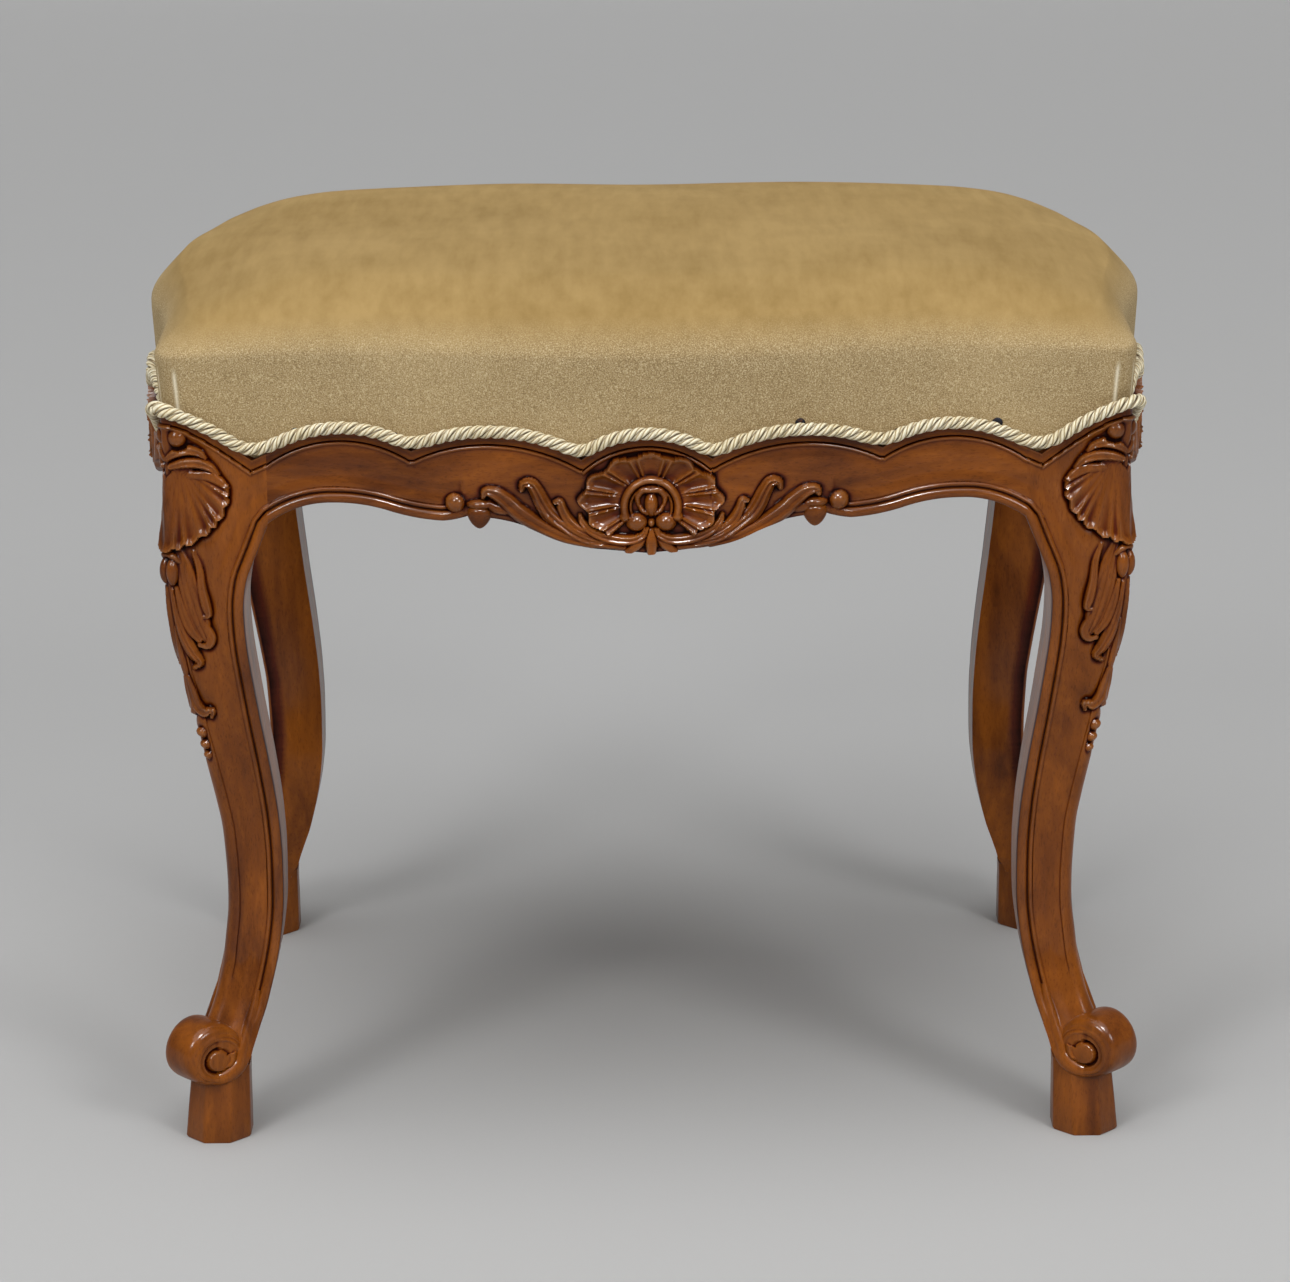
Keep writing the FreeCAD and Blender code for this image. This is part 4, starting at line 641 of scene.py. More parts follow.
def leg_stem():
    """A leg's stem and shoulder as one closed form round the middle of its foot: at each height a square
    section with a rounded outer corner, its two outer faces carved, moulded along their inner edges and
    stepped back above the scalloped edge. Columns go across one face, round the corner, across the other
    and back inside."""
    lows = np.concatenate([np.linspace(36, 120, 60), np.linspace(121.5, 205, 48), np.linspace(206, 330, 160)])
    share = np.linspace(0, 1, 55)[1:]

    def across(inner, end):
        first = inner + MOULD_STEPS
        return np.concatenate([first, first[:, -1:] + share * (end - first[:, -1:])], 1)

    plan = across(np.full((1, 1), -JOINT_REACH), np.full((1, 1), FACE_REACH - CORNER_ROUND))[0]
    edge = scallops(LEG_X + plan, LONG_HALF)
    climb = np.linspace(0, 1, 88)[1:, None]
    base = lows[-1]
    z = np.vstack([np.repeat(lows[:, None], len(plan), 1), base + climb * (edge - base)])
    inner = leg_line(INNER_LINE, z[:, :1])
    outer = leg_line(OUTER_LINE, z)
    u = across(inner, outer[:, -1:] - CORNER_ROUND)
    lean = np.minimum(np.hypot(1, np.gradient(edge, plan)), 1.8)
    z_line = np.arange(20, SHOULDER, 3.0)
    inner_edge = np.stack([leg_line(INNER_LINE, z_line), z_line], 1)
    carved = knee_carving(FACE_REACH - u, z) - KNEE_SINK
    middle = (u - inner - 14) / (outer - inner - 14)
    hollow = 0.9 * np.clip(1 - (2 * middle - 1) ** 2, 0, 1) * smooth(75, 95, z) * (1 - smooth(330, 345, z))
    # Round the corner, from one face to the other
    turn = np.linspace(math.pi / 2, 0, 24)[1:-1]
    z_corner = np.concatenate([lows, base + climb[:, 0] * (CORNER_TOP - base)])[:, None]
    centre = leg_line(OUTER_LINE, z_corner) - CORNER_ROUND
    side_on = FACE_REACH - centre - CORNER_ROUND * np.minimum(np.cos(turn), np.sin(turn))
    z_corner = np.repeat(z_corner, len(turn), 1)
    carved_corner = knee_carving(side_on, z_corner) - KNEE_SINK
    # The ground is cut down round the carving, so that its highest places lie level with the leg's faces
    ground = (np.concatenate([carved, carved_corner, carved[:, ::-1]], 1) > NOWHERE / 2).astype(float)
    ground = (KNEE_SINK - 0.4) * np.clip(1.7 * blurred(ground, 90), 0, 1)
    heights = []
    for half in (LONG_HALF, SHORT_HALF):
        beyond = underside(half)[1:14] - (half + JOINT_REACH, 0)
        d = nearest(u, z, np.vstack([inner_edge, beyond]))[0]
        below = (edge - z) / lean
        face = moulding(d) * smooth(56, 66, z) + lip(below) * smooth(335, 340, z) - hollow
        face -= ground[:, :len(plan)] * smooth(FIELD, 14, d) * smooth(LIP_END, 9, below)
        heights.append(np.where(below > LIP_END, np.maximum(face, carved), face))
    below = CORNER_TOP - z_corner
    height = lip(below) - ground[:, len(plan):-len(plan)] * smooth(LIP_END, 9, below)
    height = np.where(below > LIP_END, np.maximum(height, carved_corner), height)
    radius = CORNER_ROUND + height
    inside = np.array([0.3, 0.6, 0.85])
    one, two = outer + heights[0], (outer + heights[1])[:, ::-1]
    flat = np.repeat(inner, 3, 1)
    back_z = np.repeat(z[:, :1], 7, 1)
    rows = np.concatenate([
        np.stack([u, one, z], -1),
        np.stack([centre + radius * np.cos(turn), centre + radius * np.sin(turn), z_corner], -1),
        np.stack([two, u[:, ::-1], z[:, ::-1]], -1),
        np.stack([np.concatenate([two[:, -1:] + inside * (inner - two[:, -1:]), inner, flat], 1),
                  np.concatenate([flat, inner, inner + inside * (one[:, :1] - inner)], 1), back_z], -1)], 1)
    # The foot of the stem is drawn in, inside the octagonal foot
    rows[..., :2] *= (0.8 + 0.2 * smooth(36, 48, rows[..., 2]))[..., None]
    # The tacking face: the last row drawn in, its corner cut off under the pleats
    tack = FACE_REACH - REBATE
    step = rows[-1].copy()
    step[:, :2] = np.minimum(step[:, :2], tack)
    step[:, :2] -= np.maximum(0, step[:, :2].sum(1, keepdims=True) - (2 * tack - PLEAT_FACET)) / 2
    top = step.copy()
    top[:, 2] = FRAME_TOP
    points = np.concatenate([rows, step[None], top[None]])
    levels, columns = points.shape[:2]
    marks = hollows(np.concatenate([heights[0], height, heights[1][:, ::-1]], 1))
    marks = np.pad(marks, ((0, 2), (0, 7)), constant_values=PLAIN)
    return points, tube_faces(levels, columns, flip=True), marks


def foot_block():
    """An eight-sided foot with eased edges, chamfered at the floor and narrowing to its neck."""
    corners = math.pi / 8 + np.arange(8) * math.pi / 4
    eased = np.sort(np.concatenate([corners + step for step in (-0.09, -0.025, 0.025, 0.09)]))[::-1]
    rows = np.array([(0, 33.0, 0), (1.2, 34.6, 0), (18, 33.0, -0.9), (34, 31.2, -1.8), (40, 30.4, -2.4)])
    radius = rows[:, 1, None] / 2 / math.cos(math.pi / 8) * 0.9975
    # On a flat the reach falls off to keep it straight; across an edge the corner is cut
    off = np.abs((eased + math.pi / 8) % (math.pi / 4) - math.pi / 8)
    radius = radius * np.where(off > 0, math.cos(math.pi / 8) / np.cos(off), 1)
    points = np.stack([rows[:, 2, None] + radius * np.cos(eased), rows[:, 2, None] + radius * np.sin(eased),
                       np.repeat(rows[:, :1], 32, 1)], -1)
    return points, tube_faces(5, 32, flip=True), PLAIN


def scroll_toe():
    """The toe's scroll, a drum across the leg's diagonal with rounded shoulders: rings that grow from the
    eye of each end, over the shoulder and round the drum, and whose middle moves from the eye's to the
    drum's. An end leans towards the leg's face and has a raised eye, and a groove that winds round it on
    all but its inner side."""
    a = round_angles(96)
    r = np.concatenate([np.linspace(0.3, 4.4, 6), np.linspace(4.8, 9.2, 20), np.linspace(9.6, 12.4, 11)])
    r = r[:, None]
    turn = (a - math.radians(-18) + math.pi) % math.tau - math.pi
    open_side = 1 - smooth(math.radians(98), math.radians(122), np.abs(turn))
    winding = 7.0 - 1.4 * turn / math.radians(110)
    eye = 1.2 * np.sqrt(np.clip(1 - (r / (winding - 0.4)) ** 6, 0, 1))
    eye = eye + 0.6 * (1 - np.clip(r / 6.5, 0, 1) ** 2)
    groove = -2.4 * np.clip(1 - ((r - winding) / 1.25) ** 2, 0, 1) * open_side
    filled = 1.2 * (1 - open_side) * smooth(5, 6.5, r) * (1 - smooth(10, 12, r))
    relief = eye + groove + filled + 0.9 * smooth(9.4, 11.0, r)

    def lean(q):
        return 13.4 - 0.12 * (q - 9.5)

    q, z = 9.5 + 1.14 * r * np.cos(a), 48 + r * np.sin(a)
    end = np.stack([q, z, lean(q) + relief], -1)
    bend = np.linspace(0, math.pi, 41)[1:-1, None]
    grow = np.sin(bend) ** 0.8
    shift = 1 - grow
    q = 10.2 - 0.7 * shift + (1 + 0.14 * shift) * (12.4 + 5.4 * grow) * np.cos(a)
    z = 50 - 2 * shift + (12.4 + 4.8 * grow) * np.sin(a)
    shoulder = np.stack([q, z, lean(q) * np.sign(np.cos(bend)) * np.abs(np.cos(bend)) ** 0.5], -1)
    q, z, w = np.moveaxis(np.concatenate([end, shoulder, end[::-1] * (1, 1, -1)]), -1, 0)
    points = np.stack([(q + w) / math.sqrt(2), (q - w) / math.sqrt(2), z], -1)
    marks = np.concatenate([hollows(relief * 1.3), np.full((39, 96), PLAIN), hollows(relief * 1.3)[::-1]])
    return points, tube_faces(len(points), 96, flip=True), marks


def swept_roll(points, radius):
    """A round roll along a spline of (x, y, z), its radius a spline too, closed at both ends."""
    line = spline(np.column_stack([points, radius]), 60)
    side, lift = frames(line[:, :3])
    a = round_angles(16)
    r = line[:, 3, None, None]
    ring = line[:, None, :3] + r * (np.cos(a)[:, None] * side[:, None] + np.sin(a)[:, None] * lift[:, None])
    return ring, tube_faces(60, 16), PLAIN


def toe_bands():
    """The bead on each outer face's inner edge as it swells past the eye and curls under the scroll."""
    path = np.array([(-22.6, -1.6, 80), (-20.4, 1.0, 70), (-17.6, 4.0, 60), (-15.0, 6.6, 51),
                     (-12.6, 8.2, 43), (-7.6, 11.0, 38.0), (-1, 13.8, 36.2), (5, 15.8, 38.0),
                     (8.6, 16.4, 41.0)])
    size = np.array([1.6, 2.7, 3.3, 4.0, 4.6, 4.6, 3.8, 2.6, 1.2])
    return [swept_roll(path[:, order], size) for order in ((0, 1, 2), (1, 0, 2))]


def build_legs(walnut):
    """The four legs, one form set at each corner of the frame; a mirrored one has its faces turned round."""
    points, faces, marks = joined([leg_stem(), foot_block(), scroll_toe()] + toe_bands())
    for name, x_side, y_side in (("back_right", 1, 1), ("back_left", -1, 1), ("front_right", 1, -1),
                                 ("front_left", -1, -1)):
        placed = (points + (LEG_X, LEG_Y, 0)) * (x_side, y_side, 1)
        turned_faces = faces if x_side * y_side > 0 else [group[:, ::-1] for group in faces]
        add_mesh("carved_%s_leg" % name, placed, turned_faces, walnut, [name + "_leg"],
                 {"hollow": marks})


def build_rails(long_walnut, short_walnut):
    """The four rails; the long ones carry a drop bud to each side of the middle leaves."""
    for name, turn, half, face, bow, middle in SIDES:
        walnut, stretch = (long_walnut, 1.0) if half == LONG_HALF else (short_walnut, 0.66)
        forms = [rail_form(half, face, bow, middle, stretch)]
        if half == LONG_HALF:
            x = 0.4395 * half
            forms += [drop_bud(side * x, face_out(x, half, face, bow) - 1.0, 347.6) for side in (-1, 1)]
        points, faces, marks = joined(forms)
        add_mesh("carved_%s_rail" % name, turned(points, turn), faces, walnut, [name + "_rail"],
                 {"hollow": marks})


# Seat: cover, cord and what lies under them

# Cover's outside from its widest place over its shoulder: how far out of the show wood, height
SHOULDER_LINE = ((1.4, 424), (1.3, 430), (0.2, 436), (-2.4, 441.5), (-6.2, 445.8), (-11.0, 449.2))
# Its crown: share of the outline's size, height
CROWN_LINE = ((1.0, 449.2), (0.975, 451.6), (0.94, 454.6), (0.87, 459.2), (0.785, 462.6), (0.6, 465.4),
              (0.4, 466.8), (0.2, 467.4), (0.02, 467.6))


def skin_out(z):
    """How far the cover's side lies out of the show wood's face at a height."""
    return 0.4 + 1.5 - REBATE + LEAN * (z - HEM) / (BULGE - HEM)


def seat_ring(grow, spacing=4.0):
    """Plan of the seat's outline grown from the show wood: along each side from its right end to its left,
    then over the corner's flat pleat. Gives its points, and for each the hem's height and how near a pleat's
    edge it is."""
    points, hem, pleat = [], [], []
    for name, turn, half, face, bow, middle in SIDES:
        other = SHORT_FACE if half == LONG_HALF else LONG_FACE
        end = other + grow - PLEAT_FACET
        count = int(2 * (other - PLEAT_FACET) / spacing) // 2 * 2 + 1
        close = end - np.array([0, 0.7, 1.4, 2.4, 4.0])
        x = np.concatenate([close, np.linspace(end - 6.4, 6.4 - end, count), -close[::-1]])
        out = face_out(x, half, face, bow) + grow
        # The cloth rolls in towards the fold, then crosses the corner nearly flat
        out = out - 1.3 * smooth(end - 5, end, np.abs(x))
        fold = np.linspace(0, 1, 15)[1:-1]
        a = np.array([-end, face + grow - 1.3])
        b = np.array([-end - PLEAT_FACET + 1.3, face + grow - PLEAT_FACET])
        over = a + fold[:, None] * (b - a) + np.sin(fold * math.pi)[:, None] * np.array([-0.9, 0.9])
        run = np.vstack([np.stack([x, out], 1), over])
        points.append(turned(at_level(run, 0), turn)[:, :2])
        hem.append(scallops(np.concatenate([np.abs(x), np.full(len(fold), end + 20.0)]), half))
        gap = np.concatenate([end - np.abs(x), 13.5 * np.minimum(fold, 1 - fold)])
        pleat.append(np.exp(-(gap / 0.9) ** 2))
    return np.vstack(points), np.concatenate(hem), np.concatenate(pleat)


def settled(points):
    """The seat as it has been sat on: its corners sink above its sides, and the crown is a little uneven."""
    x, y, z = np.moveaxis(points, -1, 0)
    corner = (np.clip(np.abs(x) / (SHORT_FACE + 4), 0, 1) * np.clip(np.abs(y) / (LONG_FACE + 4), 0, 1)) ** 4
    uneven = 0.6 * np.sin(x / 47 + 1.3) * np.cos(y / 39 - 0.6) + 0.4 * np.sin(x / 23 + y / 31)
    sunk = points.copy()
    sunk[..., 2] += uneven * smooth(446, 458, z) - 13.0 * corner * smooth(420, 450, z)
    return sunk


def calmed(ring, mix):
    """A ring drawn from the serpentine towards a superellipse of the same size."""
    way = np.arctan2(ring[:, 1] / LONG_FACE, ring[:, 0] / SHORT_FACE)
    reach = (np.abs(np.cos(way)) ** 5 + np.abs(np.sin(way)) ** 5) ** -0.2
    calm = reach[:, None] * np.stack([np.cos(way) * SHORT_FACE, np.sin(way) * LONG_FACE], 1) * 0.985
    return ring + mix * (calm - ring)


def crown(ring, levels, count, drop=0.0):
    """Rows from the shoulder's ring in to the middle: each is the ring times its share, calmer inwards."""
    rows = []
    for share, level in spline(levels, count)[1:]:
        plan = share * calmed(ring, smooth(0.0, 0.3, 1 - share))
        rows.append(at_level(plan, level - drop))
    return rows


def cover_form():
    """Velvet cover: rows climb from the scalloped hem to the bulge, over the shoulder and the crown."""
    ring, hem, pleat = seat_ring(0.0)
    hem = hem + 0.5
    rows, walls, folds = [], [], []
    for share in np.linspace(0, 1, 14):
        level = hem + share * (BULGE - hem)
        mean = HEM + share * (BULGE - HEM)
        plan = seat_ring(skin_out(mean))[0]
        # A scalloped row lies where its own height puts it
        reach = np.linalg.norm(ring, axis=1, keepdims=True)
        push = (skin_out(level) - skin_out(mean))[:, None] * ring / reach
        rows.append(at_level(plan + push, level))
        walls.append(1.0)
        folds.append(1 - smooth(408, 420, mean))
    for grow, level in spline(SHOULDER_LINE, 16)[1:]:
        plan = calmed(seat_ring(grow)[0], 0.35 * smooth(428, 449, level))
        rows.append(at_level(plan, level))
        walls.append(1 - smooth(427, 450, level))
        folds.append(0.0)
    for row in crown(rows[-1][:, :2], CROWN_LINE, 40):
        rows.append(row)
        walls.append(0.0)
        folds.append(0.0)
    points = np.stack(rows)
    # The side mark picks the velvet's painted sheen colour for the sides; the pleat mark places a painted
    # highlight
    side = np.repeat(np.array(walls)[:, None], len(ring), 1)
    return settled(points), {"side": side, "pleat": np.array(folds)[:, None] * pleat}


def build_cover(velvet):
    """The velvet, 1.4 thick inwards; its skin is open at the hem, where the thickness closes it."""
    points, marks = cover_form()
    wall, _, top = tube_faces(*points.shape[:2])
    cover = add_mesh("mohair_cover", points, [wall, top], velvet, ["velvet_cover"], marks, crease=0)
    thick = cover.modifiers.new("cloth_thickness", "SOLIDIFY")
    thick.thickness = 1.4 * MM
    thick.offset = -1


def build_wadding(calico):
    """The stuffing in its calico: the cover's inside, flat underneath where the hessian carries it."""
    base = 409.8
    rows = [at_level(seat_ring(-REBATE - 3.0)[0], base)]
    for grow, level in ((-1.4, 412), (-0.7, 421), (-2.2, 433), (-6.5, 440.5), (-13.0, 446.0)):
        rows.append(at_level(seat_ring(grow - 1.0)[0], level))
    rows += crown(rows[-1][:, :2], CROWN_LINE, 14, 3.4)
    points = settled(np.stack(rows))
    pad = add_mesh("calico_wadding", points, tube_faces(*points.shape[:2]), calico,
                   ["stuffing_pad"], crease=0)


def build_hessian(jute):
    """Hessian over the webbing: a flat closed sheet with the seat's outline, 0.8 thick."""
    ring = seat_ring(-REBATE - 3.0, 8.0)[0]
    rows = [at_level(ring * share, 408.62) for share in np.linspace(0.02, 1, 24)]
    rows += [row + (0, 0, 0.78) for row in reversed(rows)]
    sheet = add_mesh("hessian_layer", np.stack(rows), tube_faces(48, len(ring)), jute,
                     ["hessian_sheet"], crease=40)


def strap(path):
    """Jute webbing: a flat band 50 wide and 1.5 thick with soft selvedges, along a path of (run, height)."""
    line = spline(path, 10 * len(path))
    section = np.array([(-25, 0.75), (-24.6, 0.2), (-24, 0), (-12, 0), (0, 0), (12, 0), (24, 0), (24.6, 0.2),
                        (25, 0.75), (24.6, 1.3), (24, 1.5), (12, 1.5), (0, 1.5), (-12, 1.5), (-24, 1.5),
                        (-24.6, 1.3)])
    points = np.stack([np.repeat(line[:, :1], 16, 1), np.tile(section[:, 0], (len(line), 1)),
                       line[:, 1:] + section[:, 1]], -1)
    return points, tube_faces(len(line), 16)


def build_webbing(jute):
    """Three straps from side to side and four woven over and under them from front to back."""
    end = SHORT_FACE - 7.0
    for number in range(3):
        points, faces = strap([(-end, FRAME_TOP), (-end / 3, FRAME_TOP), (end / 3, FRAME_TOP),
                               (end, FRAME_TOP)])
        points = points + (0, 90.0 * (number - 1), 0)
        piece = add_mesh("jute_strap_long_%d" % number, points, faces, jute,
                         ["long_webbing_%d" % number])
    end = LONG_FACE - 7.0
    over, under = FRAME_TOP + 1.8, FRAME_TOP - 1.8
    for number in range(4):
        outer, inner = (over, under) if number % 2 == 0 else (under, over)
        half = [(end, FRAME_TOP), (158, FRAME_TOP), (146, FRAME_TOP), (130, (FRAME_TOP + outer) / 2)]
        half += [(y, outer) for y in (116, 103, 90, 77, 64)] + [(45, FRAME_TOP), (26, inner), (13, inner)]
        path = half + [(0, inner)] + [(-y, z) for y, z in reversed(half)]
        points, faces = strap(path)
        points = np.stack([-points[..., 1] + 100.0 * (number - 1.5), points[..., 0], points[..., 2]], -1)
        piece = add_mesh("jute_strap_cross_%d" % number, points, faces, jute,
                         ["cross_webbing_%d" % number])


def cord_points():
    """The cord's route, the same bends as its solid: over each rail's scallops, the cusp and the corner."""
    radius, rise = 3.25, 3.6
    fold = PLEAT_FACET - (skin_out(CORNER_TOP + rise + radius) + 0.3 + radius) * math.tan(math.radians(22.5))
    points = []
    for name, turn, half, face, bow, middle in SIDES[2:] + SIDES[:2]:
        other = SHORT_FACE if half == LONG_HALF else LONG_FACE
        cusp = half + CUSP_REACH
        corner = other + skin_out(CORNER_TOP + rise + radius) + 0.3 + radius - fold
        run = half * np.array([0.0, 0.10, 0.17, 0.25, 0.36, 0.50, 0.617, 0.70, 0.80, 0.91])
        run = np.concatenate([run, cusp + np.array([0.0, 0.45, 1.0]) * (corner - cusp)])
        x = np.concatenate([run[::-1], -run[1:]])
        z = scallops(x, half) + rise
        out = face_out(x, half, face, bow) + skin_out(z + radius) + 0.3 + radius
        points.append(turned(np.stack([x, out, z], 1), turn))
    points = np.vstack(points)
    middle = (points[0] + points[-1]) / 2
    gap = (points[0] - middle) / np.linalg.norm(points[0] - middle) * 0.3
    return np.vstack([middle + gap, points, middle - gap])


def build_tacks(steel):
    """Cut tacks through the cover's hem under the cord, each a domed head on a tapered shank; two on the
    front stand a little above the cord."""
    profile = np.array([(-12, 0.25), (-0.6, 0.8), (-0.6, 2.9), (-0.1, 2.9), (0.2, 2.2), (0.3, 0.2)])[:, None]
    a = round_angles(12)
    forms = []
    for name, turn, half, face, bow, middle in SIDES:
        shares = (0.13, 0.4, 0.66, 0.92) if half == LONG_HALF else (0.18, 0.54, 0.9)
        for share in [-share for share in reversed(shares)] + list(shares):
            x = share * half
            z = scallops(x, half) + (5.4 if name == "front" and share in (-0.4, -0.92) else 3.2)
            slope = (face_out(x + 1, half, face, bow) - face_out(x - 1, half, face, bow)) / 2
            along = np.array([1, slope]) / math.hypot(1, slope)
            spot = np.array([x, face_out(x, half, face, bow) + skin_out(z)])
            across = (profile[..., 1:] * np.cos(a)[:, None]) * along
            plan = spot + profile[..., :1] * (-along[1], along[0]) + across
            form = np.concatenate([plan, z + profile[..., 1:] * np.sin(a)[:, None]], -1)
            forms.append((turned(form, turn), tube_faces(6, 12, flip=True), PLAIN))
    points, faces, marks = joined(forms)
    add_mesh("cut_tacks", points, faces, steel, ["cover_tacks"], crease=40)


def build_cord(cotton):
    """Three-strand cord: each strand winds round the route's smooth line once in 18 mm."""
    route = cord_points()
    curve = bpy.data.curves.new("cord_line", "CURVE")
    curve.dimensions = "3D"
    run = curve.splines.new("NURBS")
    run.points.add(len(route) - 1)
    run.points.foreach_set("co", np.column_stack([route * MM, np.ones(len(route))]).ravel())
    run.order_u = 3
    run.use_endpoint_u = True
    curve.resolution_u = 24
    holder = bpy.data.objects.new("cord_line", curve)
    bpy.context.scene.collection.objects.link(holder)
    bpy.context.view_layer.update()
    mesh = bpy.data.meshes.new_from_object(holder)
    line = np.zeros(3 * len(mesh.vertices))
    mesh.vertices.foreach_get("co", line)
    line = line.reshape(-1, 3) / MM
    bpy.data.objects.remove(holder)
    bpy.data.meshes.remove(mesh)
    keep = np.concatenate([[True], np.linalg.norm(np.diff(line, axis=0), axis=1) > 1e-4])
    line = line[keep]
    steps, sections, lay, strand_out, strand_radius = 2600, 11, 18.0, 1.72, 1.66
    line, where = evenly(line, steps)
    side, lift = frames(line)
    # The two ends are whipped together at the corner, where the cord is a little thicker
    near_end = np.minimum(where, where[-1] - where)
    swell = (1 + 0.22 * (1 - smooth(2, 16, near_end)))[:, None]
    a = round_angles(sections)
    parts = []
    for strand in range(3):
        turn = (where / lay * math.tau + strand * math.tau / 3)[:, None]
        radial = np.cos(turn) * side + np.sin(turn) * lift
        centre = line + strand_out * swell * radial
        around = np.cross(unit(np.gradient(centre, axis=0)), radial)
        ring = np.cos(a)[:, None] * radial[:, None] + np.sin(a)[:, None] * around[:, None]
        tube = centre[:, None] + strand_radius * swell[:, None] * ring
        parts.append((tube, tube_faces(steps, sections), np.tile(0.5 + 0.5 * np.cos(a), steps)))
    points, faces, marks = joined(parts)
    # U runs along the cord in millimetres, V once round the strand
    r, c = np.meshgrid(np.arange(steps - 1), np.arange(sections), indexing="ij")
    corners = np.stack([np.stack([r, r, r + 1, r + 1], -1), np.stack([c, c + 1, c + 1, c], -1)], -1)
    corners = corners.reshape(-1, 2)
    tube_uv = np.stack([where[corners[:, 0]], corners[:, 1] / sections], 1)
    uv = np.vstack([np.vstack([tube_uv, np.zeros((2 * sections, 2))]) for _ in range(3)])
    add_mesh("twisted_cord", points, faces, cotton, ["trim_cord"], {"outer": marks}, uv=uv, crease=0)


# Finishes. A mix of two colours takes them at its sockets 6 and 7 and its factor at 0
COLOURS = {"data_type": "RGBA", "out": 2}


def spaced(size):
    """Scale of a noise whose features lie this many millimetres apart."""
    return 1 / (size * MM)


def banded(width):
    """Scale of a wave whose bands, each half of a sine wave, are this many millimetres wide."""
    return math.pi / 20 / (width * MM)


def walnut_colours(along):
    """Streaks along the grain 5 mm apart in broader figure, fine pores, painted shade in the carving's
    hollows and round it, where the coat is dull too, raised edges painted lighter as rubbed wear and a
    painted highlight and given a shinier coat, and the carver's tool marks, 4 mm across; the grain runs the
    way that is drawn out."""
    def build(tree, place):
        grain = node(tree, "Mapping", {"Vector": place, "Scale": along})
        streak = node(tree, "TexNoise", {"Vector": grain, "Scale": spaced(5.26), "Detail": 6.0,
                                         "Roughness": 0.62, "Distortion": 0.7})
        figure = node(tree, "TexNoise", {"Vector": grain, "Scale": spaced(41.7), "Detail": 5.0,
                                         "Distortion": 1.6})
        pores = node(tree, "TexNoise", {"Vector": grain, "Scale": spaced(0.769), "Detail": 2.0})
        hollow = node(tree, "Attribute", attribute_name="hollow", out="Fac")
        wood = node(tree, "ValToRGB", {"Fac": streak},
                    stops=((0.28, "#542809"), (0.5, "#6E370C"), (0.72, "#8A4C12")))
        stain = node(tree, "ValToRGB", {"Fac": figure}, stops=((0.34, "#462006"), (0.64, "#945213")))
        wood = node(tree, "Mix", {0: 0.55, 6: wood, 7: stain}, **COLOURS)
        speck = node(tree, "ValToRGB", {"Fac": pores}, stops=((0.34, "#5A3016"), (0.44, "#FFFFFF")))
        wood = node(tree, "Mix", {0: 0.25, 6: wood, 7: speck}, blend_type="MULTIPLY", **COLOURS)
        # Painted shade: the hollow mark darkens the carving's hollows and a halo of ground round it
        painted_hollow_shade = node(tree, "ValToRGB", {"Fac": hollow},
                     stops=((0.02, "#3E220E"), (0.3, "#A8764C"), (0.48, "#FFFFFF")))
        wood = node(tree, "Mix", {0: 1.0, 6: wood, 7: painted_hollow_shade}, blend_type="MULTIPLY", **COLOURS)
        # Raised edges painted lighter: partly rubbed wear, partly a painted highlight
        rubbed_and_lit_edges = node(tree, "Math", {0: hollow, 1: 0.7}, operation="SUBTRACT", use_clamp=True)
        wood = node(tree, "Mix", {0: rubbed_and_lit_edges, 6: wood, 7: "#A8703C"}, **COLOURS)
        rough = node(tree, "Math", {0: streak, 1: 0.2, 2: 0.28}, operation="MULTIPLY_ADD")
        cuts = node(tree, "TexNoise", {"Vector": place, "Scale": spaced(3.85), "Detail": 2.0})
        bump = node(tree, "Bump", {"Height": streak, "Strength": 0.12, "Distance": 0.6 * MM})
        bump = node(tree, "Bump", {"Height": cuts, "Strength": 0.3, "Distance": 0.7 * MM, "Normal": bump})
        coat = node(tree, "Math", {0: hollow, 1: 0.76}, operation="MULTIPLY")
        return {"Base Color": wood, "Roughness": rough, "Normal": bump, "Coat Weight": coat}
    return build


def pine_colours(tree, place):
    """Dry sawn wood with streaks 4 mm apart and saw marks every 10 mm."""
    grain = node(tree, "Mapping", {"Vector": place, "Scale": (0.12, 0.12, 1.0)})
    streak = node(tree, "TexNoise", {"Vector": grain, "Scale": spaced(4.17), "Detail": 5.0})
    wood = node(tree, "ValToRGB", {"Fac": streak}, stops=((0.3, "#9A7046"), (0.7, "#C59E6E")))
    saw = node(tree, "TexWave", {"Vector": place, "Scale": banded(5.07), "Distortion": 1.5}, out="Fac")
    bump = node(tree, "Bump", {"Height": saw, "Strength": 0.2, "Distance": 0.4 * MM})
    return {"Base Color": wood, "Normal": bump}


def steel_colours(tree, place):
    """Nearly black blued steel with spots of rust a millimetre across."""
    spots = node(tree, "TexNoise", {"Vector": place, "Scale": spaced(1.43), "Detail": 3.0})
    return {"Base Color": node(tree, "ValToRGB", {"Fac": spots}, stops=((0.5, "#26282E"), (0.68, "#4F3527")))}


def weave_colours(thread, light, dark):
    """A plain weave: two sine waves at right angles, one band for each thread, its width in millimetres."""
    def build(tree, place):
        rows, columns = (node(tree, "TexWave", {"Vector": place, "Scale": banded(thread), "Distortion": 0.5},
                              bands_direction=way, out="Fac") for way in ("X", "Y"))
        weave = node(tree, "Math", {0: rows, 1: columns}, operation="MULTIPLY")
        hair = node(tree, "TexNoise", {"Vector": place, "Scale": spaced(1.25), "Detail": 3.0})
        shade = node(tree, "Math", {0: weave, 1: hair}, operation="ADD", use_clamp=True)
        cloth = node(tree, "Mix", {0: shade, 6: dark, 7: light}, **COLOURS)
        return {"Base Color": cloth, "Normal": node(tree, "Bump", {"Height": weave, "Distance": 0.6 * MM})}
    return build


